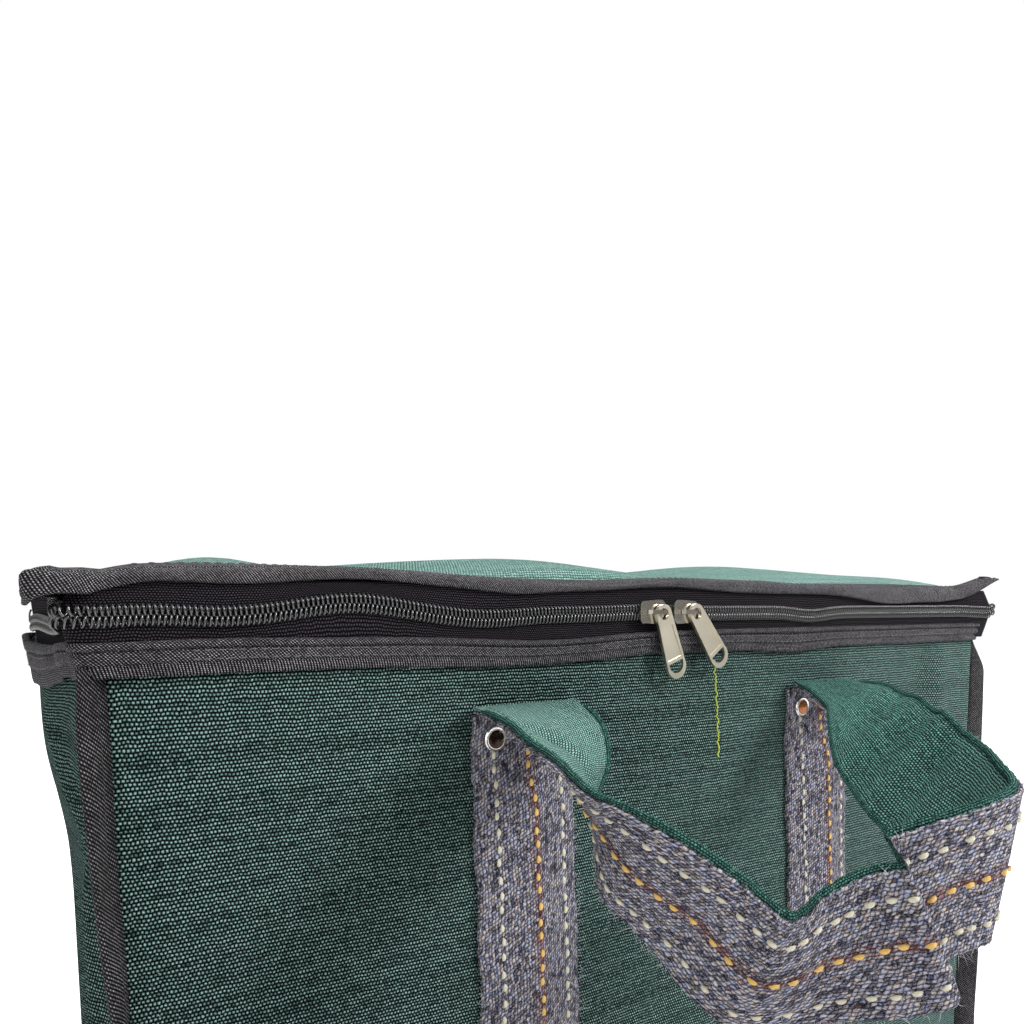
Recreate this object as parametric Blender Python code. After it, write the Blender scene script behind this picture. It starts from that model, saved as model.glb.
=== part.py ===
"""Garden tool bag: a canvas box bag with a zipped lid, bound seams and two webbing handles.

Metres, +Z up, the front at -Y. The bag stands on its base with the origin under its middle.
"""

import math

import bmesh
import bpy
import numpy as np
from mathutils import Matrix, Vector

for old in list(bpy.data.objects):
    bpy.data.objects.remove(old, do_unlink=True)

# ---------------------------------------------------------------- driving dimensions
WIDTH = 0.480            # across the front, over the canvas
DEPTH = 0.180            # front to back, over the canvas
ZIP_Z = 0.328            # height of the middle of the zip
CORNER = 0.008           # outside radius of the canvas at the upright corners
CANVAS = 0.0018          # doubled duck
GAP = 0.0003             # clearance between pieces that touch
RIM_TALL = 0.0107        # black band under the zip
RIM_THICK = 0.0020
LID_BIND_TALL = 0.0050   # black band on the edge of the lid
LID_RISE = 0.0085        # how far the lid swells above its edge
ZIP_TAPE = 0.0008        # thickness of the tape
COIL_OUT = 0.0024        # how far a row of coil stands off its tape
COIL_TALL = 0.0030
COIL_SPLIT = 0.0013      # between the two rows
TAPE_BELOW = 0.0040      # tape seen between the coil and the band under it
TAPE_ABOVE = 0.0048      # tape seen between the coil and the edge of the lid
HINGE_RETURN = 0.010     # how far the hinge strip comes forward round the back corners
FLANGE_LONG = 0.0125     # a bound corner seam, out from the corner
FLANGE_THICK = 0.0026
FLANGE_TURN = {"front": math.radians(55), "back": math.radians(75)}    # from the end toward the face
BASE_THICK = 0.0020
BASE_FLANGE = 0.0097
BOARD_THICK = 0.0030
BULGE = 0.006            # the gussets bow outward
STRAP_X = 0.091          # centre of a strap from the centre of the bag
STRAP_WIDE = 0.048
STRAP_THICK = 0.0022
STRAP_TOP = 0.2893
RIVET_R = 0.0050
RIVET_POST = 0.0015
RIVET_X = 0.0150         # from the middle of its strap
RIVET_Z = 0.2800
WEB_THICK = 0.0015       # free webbing of a handle
LINING_THICK = 0.0010
LINING_INSET = 0.0020
LID_SWELL_RINGS = 6

HX = WIDTH / 2
HY = DEPTH / 2
TAPE_IN = GAP                                # offsets outward from the face of the canvas
TAPE_OUT = TAPE_IN + ZIP_TAPE
BAND_IN = TAPE_OUT + GAP
BAND_OUT = BAND_IN + RIM_THICK
COIL_TOP = BAND_IN + COIL_OUT
COIL_LOW = ZIP_Z - COIL_SPLIT / 2 - COIL_TALL
COIL_HIGH = ZIP_Z + COIL_SPLIT / 2 + COIL_TALL
RIM_TOP = COIL_LOW - TAPE_BELOW
RIM_LOW = RIM_TOP - RIM_TALL
PANEL_TOP = RIM_TOP - 0.0015
WALL_LOW = BASE_THICK + GAP
LID_LOW = COIL_HIGH + TAPE_ABOVE
LID_EDGE_TOP = LID_LOW + LID_BIND_TALL
LID_PLATE_LOW = LID_EDGE_TOP - 0.0022
HINGE_Y = HY + (BAND_IN + BAND_OUT) / 2
FOLD_Y = HY + GAP + STRAP_THICK + GAP       # a handle turns about the fold at the top of its straps
FOLD_Z = STRAP_TOP + GAP + WEB_THICK + 2 * GAP


# ---------------------------------------------------------------- helpers
def material(name, colour, rough, metal=0.0):
    m = bpy.data.materials.new(name)
    m.use_nodes = True
    shader = m.node_tree.nodes["Principled BSDF"]
    shader.inputs["Base Color"].default_value = (*colour, 1.0)
    shader.inputs["Roughness"].default_value = rough
    shader.inputs["Metallic"].default_value = metal
    return m


LOOKS = {
    "canvas": ((0.030, 0.115, 0.088), 0.85, 0.0),
    "binding": ((0.030, 0.027, 0.030), 0.80, 0.0),
    "zip_tape": ((0.016, 0.015, 0.017), 0.85, 0.0),
    "coil": ((0.018, 0.018, 0.019), 0.40, 0.0),
    "webbing": ((0.190, 0.180, 0.210), 0.95, 0.0),
    "nickel": ((0.600, 0.560, 0.480), 0.28, 1.0),
    "board": ((0.060, 0.060, 0.062), 0.75, 0.0),
}


def add(name, verts, faces, look, smooth=False, at=(0, 0, 0)):
    """A closed mesh with its own material, its faces turned outward."""
    mesh = bpy.data.meshes.new(name)
    mesh.from_pydata([tuple(v) for v in verts], [], faces)
    bm = bmesh.new()
    bm.from_mesh(mesh)
    bmesh.ops.recalc_face_normals(bm, faces=bm.faces)
    bm.to_mesh(mesh)
    bm.free()
    for f in mesh.polygons:
        f.use_smooth = smooth
    ob = bpy.data.objects.new(name, mesh)
    ob.location = at
    mesh.materials.append(material(name, *LOOKS[look]))
    bpy.context.collection.objects.link(ob)
    return ob


def cutter(ob):
    ob.hide_render = True
    ob.display_type = "WIRE"
    return ob


def combine(ob, other, how):
    m = ob.modifiers.new(how.lower(), "BOOLEAN")
    m.operation = how
    m.solver = "EXACT"
    m.object = cutter(other)


def sweep(name, loops, look, closed, smooth=False, at=(0, 0, 0)):
    """Skins equal loops of points in order; capped at both ends unless the run closes on itself."""
    n = len(loops[0])
    verts = [p for loop in loops for p in loop]
    count = len(loops)
    faces = []
    for i in range(count if closed else count - 1):
        a, b = i * n, (i + 1) % count * n
        for k in range(n):
            faces.append((a + k, a + (k + 1) % n, b + (k + 1) % n, b + k))
    if not closed:
        faces.append(tuple(range(n)))
        faces.append(tuple(range((count - 1) * n, count * n))[::-1])
    return add(name, verts, faces, look, smooth, at)


def corner_arc(sx, sy, start, stop, out, steps=5):
    """Points round one upright corner: centre of the corner at (sx, sy) signs, angles in degrees."""
    cx, cy = sx * (HX - CORNER), sy * (HY - CORNER)
    r = CORNER + out
    for a in np.radians(np.linspace(start, stop, steps)):
        yield cx + r * math.cos(a), cy + r * math.sin(a)


def plan_ring(out):
    """The rounded plan of the bag, grown outward, all the way round."""
    pts = []
    for sx, sy, a in ((1, -1, -90), (1, 1, 0), (-1, 1, 90), (-1, -1, 180)):
        pts += corner_arc(sx, sy, a, a + 90, out)
    return pts


def plan_u(out, back_y):
    """Three sides of the plan: up the left side, along the front, down the right side."""
    pts = [(-HX - out, back_y)]
    pts += corner_arc(-1, -1, 180, 270, out)
    pts += corner_arc(1, -1, -90, 0, out)
    pts.append((HX + out, back_y))
    return pts


def plan_back(out, front_y):
    """The rest of the plan: from the right side round the back to the left side."""
    pts = [(HX + out, front_y)]
    pts += corner_arc(1, 1, 0, 90, out)
    pts += corner_arc(-1, 1, 90, 180, out)
    pts.append((-HX - out, front_y))
    return pts


def band(name, plan, inner, outer, low, high, look, closed, arg=()):
    """A flat tape stood on edge along a plan line, between two offsets and two heights."""
    ins, outs = plan(inner, *arg), plan(outer, *arg)
    loops = []
    for (x0, y0), (x1, y1) in zip(ins, outs):
        loops.append([(x0, y0, low), (x1, y1, low), (x1, y1, high), (x0, y0, high)])
    return sweep(name, loops, look, closed)


def prism(name, outline, axis, low, high, look, at=(0, 0, 0), smooth=False):
    """A flat outline pushed along one axis. The outline's pairs fill the other two axes in order."""
    def place(p, t):
        q = list(p)
        q.insert("xyz".index(axis), t)
        return q
    n = len(outline)
    verts = [place(p, low) for p in outline] + [place(p, high) for p in outline]
    faces = [tuple(range(n)), tuple(range(n, 2 * n))[::-1]]
    for k in range(n):
        faces.append((k, (k + 1) % n, n + (k + 1) % n, n + k))
    return add(name, verts, faces, look, smooth, at)


def turned(name, profile, look, at, facing, segments=20):
    """Revolves (radius, height) pairs about an axis that points along Y: facing -1 is the front."""
    verts, rings = [], []
    for r, h in profile:
        if r == 0:
            rings.append([len(verts)])
            verts.append((0, facing * h, 0))
        else:
            ring = []
            for k in range(segments):
                a = 2 * math.pi * k / segments
                ring.append(len(verts))
                verts.append((r * math.cos(a), facing * h, r * math.sin(a)))
            rings.append(ring)
    faces = []
    for a, b in zip(rings, rings[1:]):
        for k in range(segments):
            j = (k + 1) % segments
            if len(a) == 1:
                faces.append((a[0], b[k], b[j]))
            elif len(b) == 1:
                faces.append((a[k], a[j], b[0]))
            else:
                faces.append((a[k], a[j], b[j], b[k]))
    return add(name, verts, faces, look, True, at)


def disc(radius, segments=14):
    return [(radius * math.cos(2 * math.pi * k / segments), radius * math.sin(2 * math.pi * k / segments))
            for k in range(segments)]


# ---------------------------------------------------------------- walls
def wall(name, sides, bow):
    """A panel whose ends turn half way round the corners, from the base seam up under the rim."""
    bow_top = RIM_LOW - 0.004
    levels = [*np.linspace(WALL_LOW, bow_top, 9), PANEL_TOP] if bow else (WALL_LOW, PANEL_TOP)
    if bow:
        run = []
        for k, (sx, sy, a0, a1) in enumerate(sides):
            run += [(p, 0.0) for p in corner_arc(sx, sy, a0, a1, 0, 4)]
            if k == 0:
                y0 = run[-1][0][1]
                for t in np.linspace(0, 1, 9)[1:-1]:
                    run.append(((run[3][0][0], y0 * (1 - 2 * t)), math.sin(math.pi * t)))
    else:
        run = [(p, 0.0) for s in sides for p in corner_arc(*s, 0, 4)]
    points = np.array([p for p, _ in run])
    core = np.array([HX - CORNER, HY - CORNER])
    outward = (points - np.clip(points, -core, core)) / CORNER
    loops = []
    for k, (p, share) in enumerate(run):
        up, down = [], []
        for z in levels:
            swell = bow * share * math.sin(math.pi * min(1, (z - WALL_LOW) / (bow_top - WALL_LOW)))
            o = Vector((*p, z)) + Vector((math.copysign(swell, p[0]) if bow else 0, 0, 0))
            i = o - Vector((*outward[k], 0)) * CANVAS
            up.append(o)
            down.append(i)
        loops.append(up + down[::-1])
    return sweep(name, loops, "canvas", False)


SEAM = 1.6   # degrees left open at each corner seam
front_panel = wall("front_panel", ((-1, -1, 225 + SEAM, 270), (1, -1, 270, 315 - SEAM)), 0)
back_panel = wall("back_panel", ((1, 1, 45 + SEAM, 90), (-1, 1, 90, 135 - SEAM)), 0)
wall("right_gusset", ((1, -1, -45 + SEAM, 0), (1, 1, 0, 45 - SEAM)), BULGE)
wall("left_gusset", ((-1, 1, 135 + SEAM, 180), (-1, -1, 180, 225 - SEAM)), BULGE)


def plate(name, out, low, high, look, rise=0.0, rings=1):
    """A flat or swollen sheet with the plan of the bag."""
    edge = plan_ring(out)
    full = []
    for k in range(len(edge)):
        a, b = edge[k], edge[(k + 1) % len(edge)]
        full.append(a)
        if math.dist(a, b) > 0.05:
            parts = 6 if math.dist(a, b) > 0.3 else 3
            full += [(a[0] + (b[0] - a[0]) * t / parts, a[1] + (b[1] - a[1]) * t / parts)
                     for t in range(1, parts)]
    n = len(full)
    verts, faces = [], []
    for side, z in ((0, low), (1, high)):
        start = len(verts)
        for r in range(rings):
            f = 1 - r / rings
            lift = rise * (1 - f ** 2.5)
            verts += [(x * f, y * f, z + lift) for x, y in full]
        verts.append((0, 0, z + rise))
        for r in range(rings - 1):
            for k in range(n):
                a, b = start + r * n, start + (r + 1) * n
                faces.append((a + k, a + (k + 1) % n, b + (k + 1) % n, b + k))
        for k in range(n):
            a = start + (rings - 1) * n
            faces.append((a + k, a + (k + 1) % n, start + rings * n))
    top = rings * n + 1
    for k in range(n):
        faces.append((k, (k + 1) % n, top + (k + 1) % n, top + k))
    return add(name, verts, faces, look)


# ---------------------------------------------------------------- base
plate("base_panel", 0, 0, BASE_THICK, "canvas")
band("base_binding", plan_ring, GAP, GAP + BASE_FLANGE, 0, FLANGE_THICK, "binding", True)
BOARD_IN = CANVAS + 0.0035
board = [(x, y) for x, y in plan_ring(-BOARD_IN)]
prism("base_board", board, "z", WALL_LOW, WALL_LOW + BOARD_THICK, "board")

# ---------------------------------------------------------------- bound corner seams
half = FLANGE_THICK / 2
nose = [(FLANGE_LONG - half + half * math.cos(a), half * math.sin(a))
        for a in np.radians(np.linspace(-90, 90, 6))]
root = 0.0005
for label, sx, sy in (("front_left", -1, -1), ("front_right", 1, -1), ("back_left", -1, 1), ("back_right", 1, 1)):
    turn = FLANGE_TURN["front" if sy < 0 else "back"]
    outline = []
    for u, v in [(root, half)] + [(root, -half)] + nose:
        x = (CORNER + u) * math.cos(turn) - v * math.sin(turn)
        y = (CORNER + u) * math.sin(turn) + v * math.cos(turn)
        outline.append((sx * (HX - CORNER + x), sy * (HY - CORNER + y)))
    prism("corner_binding_" + label, outline, "z", FLANGE_THICK + GAP, RIM_LOW - GAP, "binding")

# ---------------------------------------------------------------- mouth: rim band and lower half of the zip
ZIP_BACK = HY - HINGE_RETURN
band("rim_binding", plan_ring, BAND_IN, BAND_OUT, RIM_LOW, RIM_TOP, "binding", True)
band("lower_zip_tape", plan_u, TAPE_IN, TAPE_OUT, RIM_LOW + 0.002, ZIP_Z - COIL_SPLIT / 2 - 0.0002,
     "zip_tape", False, (ZIP_BACK,))
band("lower_coil", plan_u, BAND_IN, COIL_TOP, COIL_LOW, COIL_LOW + COIL_TALL, "coil", False, (ZIP_BACK,))
band("lower_hinge_strip", plan_back, TAPE_IN, TAPE_OUT, RIM_LOW + 0.002, ZIP_Z - GAP, "binding", False,
     (ZIP_BACK + GAP,))

# ---------------------------------------------------------------- lid, hinged along the back
plate("lid_panel", 0, LID_PLATE_LOW, LID_PLATE_LOW + CANVAS, "canvas", LID_RISE, LID_SWELL_RINGS)
band("lid_binding", plan_ring, BAND_IN, BAND_OUT, LID_LOW, LID_EDGE_TOP, "binding", True)
band("upper_zip_tape", plan_u, TAPE_IN, TAPE_OUT, ZIP_Z + COIL_SPLIT / 2 + 0.0002, LID_PLATE_LOW - GAP,
     "zip_tape", False, (ZIP_BACK,))
band("upper_coil", plan_u, BAND_IN, COIL_TOP, COIL_HIGH - COIL_TALL, COIL_HIGH, "coil", False, (ZIP_BACK,))

band("upper_hinge_strip", plan_back, TAPE_IN, TAPE_OUT, ZIP_Z + GAP, LID_PLATE_LOW - GAP, "binding", False,
     (ZIP_BACK + GAP,))

# ---------------------------------------------------------------- inner pocket, behind the front panel
POCKET_X = 0.009
POCKET_WIDE = 0.300
POCKET_LOW, POCKET_HIGH = 0.110, 0.304
pocket = [(POCKET_X - POCKET_WIDE / 2, POCKET_LOW), (POCKET_X + POCKET_WIDE / 2, POCKET_LOW),
          (POCKET_X + POCKET_WIDE / 2, POCKET_HIGH - 0.02), (POCKET_X + POCKET_WIDE / 2 - 0.02, POCKET_HIGH),
          (POCKET_X - POCKET_WIDE / 2 + 0.02, POCKET_HIGH), (POCKET_X - POCKET_WIDE / 2, POCKET_HIGH - 0.02)]
POCKET_THICK = 0.0012
POCKET_Y = -HY + CANVAS + GAP
pocket_ob = prism("inner_pocket", pocket, "y", POCKET_Y, POCKET_Y + POCKET_THICK, "canvas")

# ---------------------------------------------------------------- sewn straps and their rivets
CAP = [(RIVET_POST, 0), (RIVET_R * 0.86, 0), (RIVET_R, 0.0005), (RIVET_R, 0.0011),
       (RIVET_R * 0.92, 0.0016), (RIVET_R * 0.80, 0.0014), (RIVET_R * 0.55, 0.0020), (0, 0.0024)]
BURR = 0.0008            # thickness of the inside cap over the end of the post


def rivet_pair(label, facing, strap_x, panels):
    """Two rivets through the top of a strap: a cap with its post outside, a dished cap inside."""
    face = HY + 2 * GAP + STRAP_THICK
    inside = HY - CANVAS - GAP - (POCKET_THICK + GAP if facing < 0 else 0)
    post = face - inside + BURR - GAP
    for side, n in ((-1, 1), (1, 2)):
        x = strap_x + side * RIVET_X
        cap = [(0, -post), (RIVET_POST, -post)] + CAP
        turned(f"rivet_{label}_{n}", cap, "nickel", (x, facing * face, RIVET_Z), facing)
        hole = prism("cut", disc(RIVET_POST + GAP), "y", -0.03, 0.03, "nickel",
                     (x, facing * HY, RIVET_Z))
        for ob in panels:
            combine(ob, hole, "DIFFERENCE")
        burr = [(0, -2 * BURR), (RIVET_R * 0.75, -1.75 * BURR), (RIVET_R, -BURR), (RIVET_R, 0),
                (RIVET_POST + GAP, 0), (RIVET_POST + GAP, -BURR), (0, -BURR)]
        turned(f"burr_{label}_{n}", burr, "nickel", (x, facing * inside, RIVET_Z), facing)


for face_name, facing, panel in (("front", -1, front_panel), ("back", 1, back_panel)):
    for side_name, sx in (("left", -1), ("right", 1)):
        x0, x1 = sx * STRAP_X - STRAP_WIDE / 2, sx * STRAP_X + STRAP_WIDE / 2
        y0, y1 = sorted((facing * (HY + GAP), facing * (HY + GAP + STRAP_THICK)))
        strap_line = [(x0, y0), (x1, y0), (x1, y1), (x0, y1)]
        strap = prism(f"strap_{face_name}_{side_name}", strap_line, "z", FLANGE_THICK + GAP, STRAP_TOP,
                      "webbing")
        through = [panel, strap] + ([pocket_ob] if facing < 0 else [])
        rivet_pair(f"{face_name}_{side_name}", facing, sx * STRAP_X, through)

# ---------------------------------------------------------------- handles
# Stations along the loop from the left root to the right root: centre (x, out from the face, height from
# the fold) as shares of STRAP_X, and the direction across the webbing from its outer to its inner edge.
LOOP = [
    ((-1.000, 0.000,  0.000), (1.00, 0.00, 0.00)),
    ((-1.033, 0.286, -0.052), (1.00, -0.15, -0.10)),
    ((-1.143, 0.549, -0.151), (0.80, -0.50, -0.20)),
    ((-1.264, 0.802, -0.260), (0.60, -0.75, -0.25)),
    ((-1.297, 1.022, -0.425), (0.25, -0.75, -0.65)),
    ((-1.110, 1.176, -0.623), (0.25, -0.55, -0.85)),
    ((-0.879, 1.352, -0.722), (0.25, -0.35, -0.90)),
    ((-0.626, 1.571, -0.634), (0.05, -0.15, -1.00)),
    ((-0.330, 1.670, -0.491), (-0.05, -0.10, -1.00)),
    ((-0.044, 1.571, -0.425), (-0.10, -0.15, -1.00)),
    (( 0.396, 1.077, -0.348), (-0.50, -0.35, -0.82)),
    (( 0.769, 0.505, -0.173), (-0.80, -0.35, -0.50)),
    (( 1.000, 0.000,  0.000), (-1.00, 0.00, 0.00)),
]
STEPS = 72
ACROSS = 4
ROOT_STEPS = 8                  # the ends lie along the fold, and square up over this many steps
TWIST_FROM, TWIST_TO = 14, 22   # the half turn at the left root is sheared, and squares up here


def spline(keys, count):
    """A smooth run through the stations, evenly spaced along its length."""
    keys = np.array(keys, float)
    ends = np.vstack([2 * keys[0] - keys[1], keys, 2 * keys[-1] - keys[-2]])
    fine = []
    for i in range(1, len(ends) - 2):
        a, b, c, d = ends[i - 1:i + 3]
        for t in np.linspace(0, 1, 24, endpoint=False):
            fine.append(0.5 * (2 * b + (c - a) * t + (2 * a - 5 * b + 4 * c - d) * t ** 2
                               + (3 * b - a - 3 * c + d) * t ** 3))
    fine.append(ends[-2])
    fine = np.array(fine)
    along = np.concatenate([[0], np.cumsum(np.linalg.norm(np.diff(fine[:, :3], axis=0), axis=1))])
    at = np.linspace(0, along[-1], count)
    run = np.stack([np.interp(at, along, fine[:, k]) for k in range(fine.shape[1])], 1)
    for _ in range(3):
        run[1:-1] = run[:-2] * 0.25 + run[1:-1] * 0.5 + run[2:] * 0.25
    return run


def handle(label, facing):
    keys = []
    for (x, out, z), across in LOOP:
        at_root = out == 0
        y = -FOLD_Y if at_root else -(HY + out * STRAP_X)
        keys.append((x * STRAP_X, y, FOLD_Z + z * STRAP_X, across[0], -across[1], across[2]))
    run = spline(keys, STEPS)
    centre, across = run[:, :3], run[:, 3:]
    along = np.gradient(centre, axis=0)
    along /= np.linalg.norm(along, axis=1)[:, None]
    step = np.arange(STEPS)
    square = np.clip(np.minimum(step, STEPS - 1 - step) / ROOT_STEPS, 0, 1)
    square *= np.clip(0.35 + 0.65 * (step - TWIST_FROM) / (TWIST_TO - TWIST_FROM), 0.35, 1)
    across /= np.linalg.norm(across, axis=1)[:, None]
    across -= (square * (across * along).sum(1))[:, None] * along
    across /= np.linalg.norm(across, axis=1)[:, None]
    lined = np.cross(along, across)
    lined /= np.linalg.norm(lined, axis=1)[:, None]
    turn = Matrix.Rotation(0 if facing < 0 else math.pi, 3, "Z")
    pivot = Vector((0, facing * FOLD_Y, FOLD_Z))
    layers = (("webbing", -GAP / 2 - WEB_THICK, -GAP / 2, STRAP_WIDE / 2, "webbing"),
              ("lining", GAP / 2, GAP / 2 + LINING_THICK, STRAP_WIDE / 2 - LINING_INSET, "canvas"))
    for part, low, high, wide, look in layers:
        rows = []
        for c, w, n in zip(centre, across, lined):
            for lift in (low, high):
                for u in np.linspace(-wide, wide, ACROSS + 1):
                    rows.append(turn @ Vector(c + w * u + n * lift) - pivot)
        ribbon(f"{label}_handle_{part}", rows, look, pivot)


def ribbon(name, rows, look, at):
    """A flexible strip: its two sides share one pattern of triangles, so that layers stay parallel."""
    m = ACROSS + 1
    faces = []
    for i in range(STEPS - 1):
        for side in (0, 1):
            a, b = (2 * i + side) * m, (2 * i + 2 + side) * m
            for j in range(ACROSS):
                faces.append((a + j, b + j, b + j + 1))
                faces.append((a + j, b + j + 1, a + j + 1))
        for j in (0, ACROSS):
            a, b = 2 * i * m + j, (2 * i + 2) * m + j
            faces.append((a, b, b + m, a + m))
    for i in (0, STEPS - 1):
        low = [2 * i * m + j for j in range(m)]
        faces.append(tuple(low + [v + m for v in low][::-1]))
    add(name, rows, faces, look, False, at)


handle("front", -1)
handle("back", 1)

# ---------------------------------------------------------------- sliders and pull tabs
SLIDER_LONG = 0.014
SLIDER_TALL = 0.0104
PLATE_THICK = 0.0011
BAIL_LONG = 0.0100
BAIL_OUT = 0.0039
BAIL_WIRE = 0.0016
LEG_X = BAIL_LONG / 2 - BAIL_WIRE / 2
EYE_R = 0.0026
EYE_RING = 0.0043
EYE_DROP = 0.0010        # the eye is larger than the bail, so it hangs a little below the axis
PULL_LONG = 0.0305
PULL_WIDE = 0.0110
PULL_THICK = 0.0014
PULL_RIM = 0.0013        # width of the raised edge
PULL_OFF = 0.0008        # between the slider's face and the back of the pull
PLATE_FRONT = -(HY + COIL_TOP + GAP + PLATE_THICK)


def slider(name, x, nose_to):
    """Front plate with a lip under the coil, back plate inside the tape, a thin wedge between, and a bail."""
    tail = SLIDER_TALL * 0.44
    wide = SLIDER_TALL * 0.50
    h = SLIDER_LONG / 2
    shield = [(-h, -tail + 0.001), (-h + 0.001, -tail), (h * 0.3, -wide), (h - 0.0015, -wide),
              (h, -wide + 0.0015), (h, wide - 0.0015), (h - 0.0015, wide), (h * 0.3, wide),
              (-h + 0.001, tail), (-h, tail - 0.001)]
    shield = [(nose_to * u, v) for u, v in shield]
    face = PLATE_FRONT
    inner = face + PLATE_THICK
    back = -(HY - 0.0)
    ob = prism(name, shield, "y", 0, PLATE_THICK, "nickel", (x, face, ZIP_Z))
    rear = prism("rear", shield, "y", 0, PLATE_THICK, "nickel", (x, back, ZIP_Z))
    w0, w1 = sorted((nose_to * h * 0.30, nose_to * (h - 0.0012)))
    wedge_half = COIL_SPLIT / 2 - GAP
    wedge = prism("wedge", [(w0, -wedge_half), (w1, -wedge_half), (w1, wedge_half), (w0, wedge_half)],
                  "y", inner - 0.0004, back + 0.0004, "nickel", (x, 0, ZIP_Z))
    lip_top = -(COIL_SPLIT / 2 + COIL_TALL + GAP)
    lip = prism("lip", [(-h * 0.8, lip_top - 0.0008), (h * 0.8, lip_top - 0.0008), (h * 0.8, lip_top),
                        (-h * 0.8, lip_top)],
                "y", inner - 0.0004, -(HY + TAPE_OUT + GAP), "nickel", (x, 0, ZIP_Z))
    b, t = BAIL_LONG / 2, BAIL_WIRE
    arch = [(-b, 0.0004), (-b, -BAIL_OUT + 0.0013), (-b + 0.0013, -BAIL_OUT), (b - 0.0013, -BAIL_OUT),
            (b, -BAIL_OUT + 0.0013), (b, 0.0004), (b - t, 0.0004), (b - t, -BAIL_OUT + t + 0.0002),
            (b - t - 0.0005, -BAIL_OUT + t - 0.0004), (-b + t + 0.0005, -BAIL_OUT + t - 0.0004),
            (-b + t, -BAIL_OUT + t + 0.0002), (-b + t, 0.0004)]
    bail = prism("bail", arch, "z", -0.0009, 0.0009, "nickel", (x, face, ZIP_Z))
    for extra in (rear, wedge, lip, bail):
        combine(ob, extra, "UNION")
    return ob


def pull(name, x, tilt):
    """Flat tab with a raised rim: an eye at the top that rides the bail's leg, a D hole at the bottom."""
    w = PULL_WIDE / 2
    end = -PULL_LONG + w
    outline = [(EYE_RING * math.cos(a), EYE_RING * math.sin(a) - EYE_DROP)
               for a in np.radians(np.linspace(0, 180, 12))]
    outline += [(w * math.cos(a), end + w * math.sin(a)) for a in np.radians(np.linspace(180, 360, 14))]
    back = PLATE_FRONT - PULL_OFF
    ob = prism(name, outline, "y", -PULL_THICK, 0, "nickel", (x, back, ZIP_Z))
    ob.rotation_euler = (0, -tilt, 0)
    m = PULL_RIM
    neck = -EYE_DROP - EYE_RING
    panel = [(-EYE_RING + m, neck - m), (-w + m, end + 0.0036), (w - m, end + 0.0036), (EYE_RING - m, neck - m)]
    ring = w - m
    dee = [(ring * math.cos(a), end + 0.0012 + ring * math.sin(a)) for a in np.radians(np.linspace(180, 360, 10))]
    dee += [(ring, end + 0.0020), (-ring, end + 0.0020)]
    eye = [(u, v - EYE_DROP) for u, v in disc(EYE_R)]
    for shape, y0, y1 in ((eye, -0.004, 0.002), (dee, -0.004, 0.002),
                          (panel, -0.004, -PULL_THICK + 0.0004)):
        cut = prism("cut", shape, "y", y0, y1, "nickel")
        cut.parent = ob
        combine(ob, cut, "DIFFERENCE")
    return ob


LEFT_EYE, RIGHT_EYE = -0.0225, -0.003
slider("left_slider", LEFT_EYE - LEG_X, 1)
slider("right_slider", RIGHT_EYE - LEG_X, -1)
pull("left_pull", LEFT_EYE, math.radians(19))
pull("right_pull", RIGHT_EYE, math.radians(37))
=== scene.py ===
"""Garden tool bag: the looks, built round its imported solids.

A boxy canvas bag with a zipped lid, black tape over every seam, and two handles of hand-woven webbing
lined with the same canvas. Metres, +Z up, the front at -Y, the origin under the middle of the bag.
"""

import math

import bpy
import numpy as np
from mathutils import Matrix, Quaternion, Vector


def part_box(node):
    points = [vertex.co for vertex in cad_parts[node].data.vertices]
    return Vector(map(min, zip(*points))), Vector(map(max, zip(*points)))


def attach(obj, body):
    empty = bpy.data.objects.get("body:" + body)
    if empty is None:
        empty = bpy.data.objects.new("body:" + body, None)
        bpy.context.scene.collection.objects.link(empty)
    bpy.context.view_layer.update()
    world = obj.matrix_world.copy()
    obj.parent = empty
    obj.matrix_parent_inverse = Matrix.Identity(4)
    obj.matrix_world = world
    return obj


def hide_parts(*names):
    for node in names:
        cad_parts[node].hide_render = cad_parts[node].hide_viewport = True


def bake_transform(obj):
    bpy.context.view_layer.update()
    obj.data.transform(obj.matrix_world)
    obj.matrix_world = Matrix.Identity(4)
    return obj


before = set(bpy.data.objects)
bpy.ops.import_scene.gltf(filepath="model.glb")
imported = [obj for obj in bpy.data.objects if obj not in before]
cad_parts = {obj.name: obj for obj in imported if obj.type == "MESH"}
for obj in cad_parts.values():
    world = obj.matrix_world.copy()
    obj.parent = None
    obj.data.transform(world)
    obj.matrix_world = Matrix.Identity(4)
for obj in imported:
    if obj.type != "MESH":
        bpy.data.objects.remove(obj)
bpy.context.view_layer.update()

# ------------------------------------------------------------------ studio
# A pale floor under soft lamps: a large key from the upper right, a weak one from the left. The sky and
# the floor read as white, and the floor keeps the shadow of the bag.
scene = bpy.context.scene
scene.view_settings.view_transform = "Standard"

camera = bpy.data.objects.new("camera", bpy.data.cameras.new("camera"))
scene.collection.objects.link(camera)
camera.location = (-0.2777, -0.3644, 0.3285)
camera.rotation_mode = "QUATERNION"
looking = Vector((0.5497, 0.8300, -0.0949)).to_track_quat("-Z", "Y")
camera.rotation_quaternion = looking @ Quaternion((0, 0, 1), math.radians(-0.37))
camera.data.sensor_width = 36
camera.data.lens = 29.7
camera.data.shift_y = 0.176
camera.data.clip_start = 0.01
scene.camera = camera


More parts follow.
